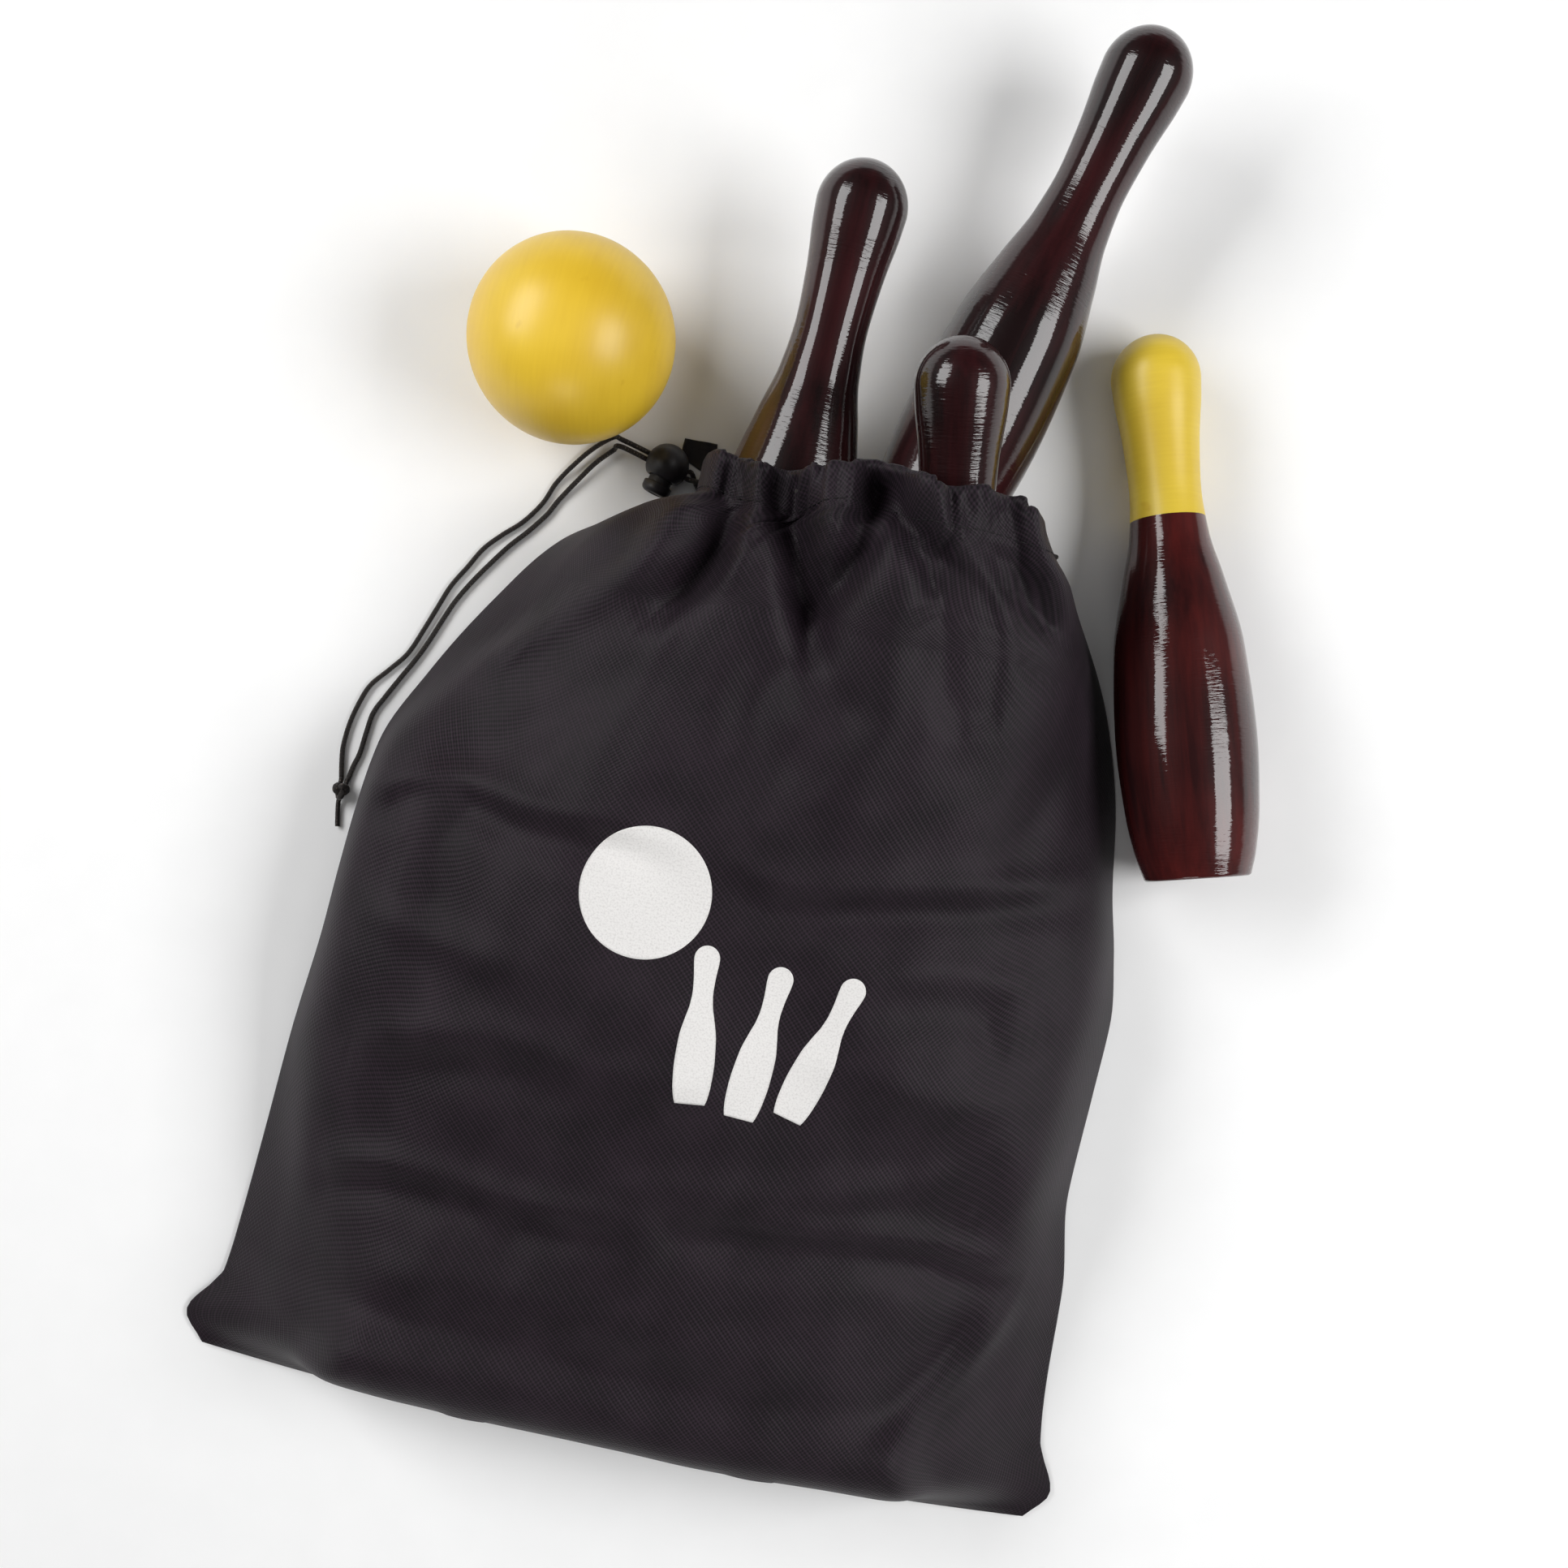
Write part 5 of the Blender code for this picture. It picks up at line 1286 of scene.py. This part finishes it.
def coil():
    """Points and faces of a wire wound in a coil about the lock's axis, in the lock's own millimetres."""
    wire = np.linspace(0, 2 * math.pi, WIRE_SIDES, endpoint=False)
    points = []
    for t in np.linspace(0, 1, COIL_POINTS):
        turn = 2 * math.pi * COIL_TURNS * t
        out = np.array((math.cos(turn), math.sin(turn), 0))
        # The end turns lie flat, so the pitch starts and stops gently.
        height = COIL_HIGH - COIL_LOW - 2 * WIRE_RADIUS
        rise = COIL_LOW + WIRE_RADIUS + height * smooth_share(t, 0.08, 0.92)
        for a in wire:
            reach, up = COIL_RADIUS + WIRE_RADIUS * math.cos(a), rise + WIRE_RADIUS * math.sin(a)
            points.append(out * reach + np.array((0, 0, up)))
    rings = number_rings(COIL_POINTS, WIRE_SIDES)
    return np.array(points), ring_faces(rings[::-1]) + [rings[0], rings[-1][::-1]]


coil_points, coil_faces = coil()
coil_place = moved(coil_points * MM, LOCK_MATRIX)
covered = ["cord_lock_spring"]
spring = make_piece("cord_lock_coil", coil_place, coil_faces, [steel], "cord_lock", covered)
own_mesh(spring)
print("spring turns:", COIL_TURNS, "wire:", 2 * WIRE_RADIUS, "mm")

# %% [markdown]
# ## A printed sign of the game
#
# The bag carries a large screen print in white. Here it is a generic one, a ball and three pins,
# which says what is inside. Screen ink lies on the cloth as a film a tenth of a millimetre thick and
# follows every fold, so each shape is a fine grid that is dropped on the finished cloth from above.

# %% The print's ink
ink, tree, shader = new_finish("screen_print_white_ink", Roughness=0.55, Specular_IOR_Level=0.4)
# The weave shows through the film, and the ink is thinner where the cloth is rough.
through = noise(tree, add(tree, "ShaderNodeUVMap", uv_map="weave"), 1.4, 3)
complete(shader, between(tree, spread(tree, through, 0.1, 0.55), "#C9C6C4", "#E9E7E5"), through, 0.2, 0.12)
print("ink:", ink.name)

# %% The print
INK_ABOVE, INK_BELOW = 0.14 * MM, 0.30 * MM
PRINT_PIN_SCALE = 0.27
PRINT_BALL = (-26, 31, 23)
PRINT_PINS = ((4, -37, -5), (21.5, -39, 5), (38, -36, 15))
cloth_tree = BVHTree.FromObject(front, bpy.context.evaluated_depsgraph_get())


def printed(name, grid):
    """A closed film of ink over the cloth, from a grid of places in the plan."""
    places = grid.reshape(-1, 2)
    met = [met_below(cloth_tree, x, y) for x, y in places]
    upper = [np.array(place) + np.array(lean) * INK_ABOVE for place, lean in met]
    lower = [np.array(place) - np.array(lean) * INK_BELOW for place, lean in met]
    piece = make_piece(name, upper + lower, sheet_faces(*grid.shape[:2]), [ink], "bag")
    give_point_uv(piece, np.concatenate([places, places]) / MM)
    return piece


def disc_grid(x, y, radius):
    """A round shape as a square grid pressed into a circle."""
    side = np.linspace(-1, 1, 45)
    a, b = np.meshgrid(side, side)
    return np.dstack([x + radius * a * np.sqrt(1 - b**2 / 2), y + radius * b * np.sqrt(1 - a**2 / 2)]) * MM


def pin_grid(x, y, heading):
    """A pin's outline as strips across it, with its foot at (x, y)."""
    head = HEAD_HEIGHT + (PIN_HEIGHT - HEAD_HEIGHT) * np.sin(np.radians(np.linspace(10, 86, 10)))
    heights = np.concatenate([[0.4 * MM], np.linspace(3 * MM, HEAD_HEIGHT, 60), head])
    along = heights[:, None] * PRINT_PIN_SCALE
    aside = pin_radius(heights)[:, None] * np.linspace(-1, 1, 15) * PRINT_PIN_SCALE
    c, s = math.cos(math.radians(heading)), math.sin(math.radians(heading))
    return np.dstack([x * MM + along * s + aside * c, y * MM + along * c - aside * s])


prints = [printed("print_ball", disc_grid(*PRINT_BALL))]
for number, place in enumerate(PRINT_PINS):
    prints.append(printed(f"print_pin_{number + 1}", pin_grid(*place)))
print("print faces:", sum(len(piece.data.polygons) for piece in prints))

# %% [markdown]
# ## The studio
#
# The set lies on a white table. Two long soft boxes, one at the upper left and one at the right, give
# the long window shapes on the pins and light the folds from the side, and a weak one stands at the
# bottom. The sky of the studio is dark overhead, so the black cloth and the dark lacquer stay deep,
# while the camera itself sees white. Far from the set the table runs out into the same white.

# %% Lights
AIM = Vector((0, 0.09, 0.03))


def softbox(name, towards, elevation, size, distance, strength):
    """A soft box, wide and tall as given, that looks at the set from a direction on the ground plan."""
    turn, rise = math.atan2(towards[1], towards[0]), math.radians(elevation)
    away = Vector((math.cos(turn) * math.cos(rise), math.sin(turn) * math.cos(rise), math.sin(rise)))
    light = bpy.data.lights.new(name, "AREA")
    light.shape = "RECTANGLE"
    light.size, light.size_y = size
    light.energy = strength * math.pi * size[0] * size[1]
    box = show(name, light)
    box.location = AIM + away * distance
    box.rotation_euler = away.to_track_quat("Z", "Y").to_euler()
    return box


def in_row(right, up):
    """A direction in the picture as a direction in the row."""
    c, s = math.cos(CAMERA_TURN), math.sin(CAMERA_TURN)
    return (right * c - up * s, right * s + up * c)


softbox("softbox_left", in_row(-0.866, 0.5), 38, (1.05, 0.62), 1.4, 6.8)
softbox("softbox_right", in_row(0.995, -0.10), 43, (0.95, 0.65), 1.4, 7.6)
softbox("softbox_bottom", in_row(-0.12, -0.99), 24, (0.6, 0.35), 1.4, 4.0)
# The fill hangs straight above. A photographer would hide its own reflection with a flag.
fill = softbox("overhead_fill", (0, 1), 89, (2.2, 2.2), 2.2, 0.5)
fill.visible_glossy = False
print("lights:", [lamp.name for lamp in bpy.data.lights])

# %% The world and the table
TABLE_HALF = 3


def rays(tree):
    """Whether the camera looks here, straight or through glass, and whether a glossy thing does."""
    path = add(tree, "ShaderNodeLightPath").outputs
    seen = maths(tree, "MAXIMUM", path["Is Camera Ray"], path["Is Transmission Ray"])
    return seen, path["Is Glossy Ray"]


world = bpy.data.worlds.new("studio_world")
world.use_nodes = True
bpy.context.scene.world = world
tree = world.node_tree
sky = tree.nodes["Background"]
direction = add(tree, "ShaderNodeTexCoord").outputs["Generated"]
up = add(tree, "ShaderNodeSeparateXYZ", {0: direction}).outputs[2]
feed(sky, {"Strength": spread(tree, up, 0.1, 0.9, 0.32, 0.10)})
white = add(tree, "ShaderNodeBackground", {"Color": "#FFFFFF", "Strength": 1})
seen, glossy = rays(tree)
# Glossy things see the white only near the horizon, so that the lacquer keeps its depth.
share = maths(tree, "MAXIMUM", seen, maths(tree, "MULTIPLY", glossy, spread(tree, up, 0, 0.12, 1, 0)))
feed(tree.nodes["World Output"], {0: add(tree, "ShaderNodeMixShader", {0: share, 1: sky, 2: white})})

table_finish, tree, shader = new_finish("table_white_paper", Roughness=0.9, Specular_IOR_Level=0.2)
place = add(tree, "ShaderNodeTexCoord").outputs["Object"]
complete(shader, between(tree, noise(tree, place, 60, 3), "#FAFAFA", "#FFFFFF"))
# Near the set the table takes light and shadow. Further out it is the backdrop's own white.
reach = add(tree, "ShaderNodeVectorMath", {0: place}, operation="LENGTH").outputs["Value"]
beyond = spread(tree, reach, 0.42, 1.1, interpolation_type="SMOOTHSTEP")
share = maths(tree, "MULTIPLY", maths(tree, "MAXIMUM", *rays(tree)), beyond)
glow = add(tree, "ShaderNodeEmission", {"Color": "#FFFFFF", "Strength": 1})
both = add(tree, "ShaderNodeMixShader", {0: share, 1: shader, 2: glow})
feed(tree.nodes["Material Output"], {0: both})
table_corners = [(x * TABLE_HALF, y * TABLE_HALF, 0) for x, y in ((-1, -1), (1, -1), (1, 1), (-1, 1))]
table = show("table", new_mesh("table", table_corners, [(0, 1, 2, 3)]))
table.data.materials.append(table_finish)
print("world and table ready")
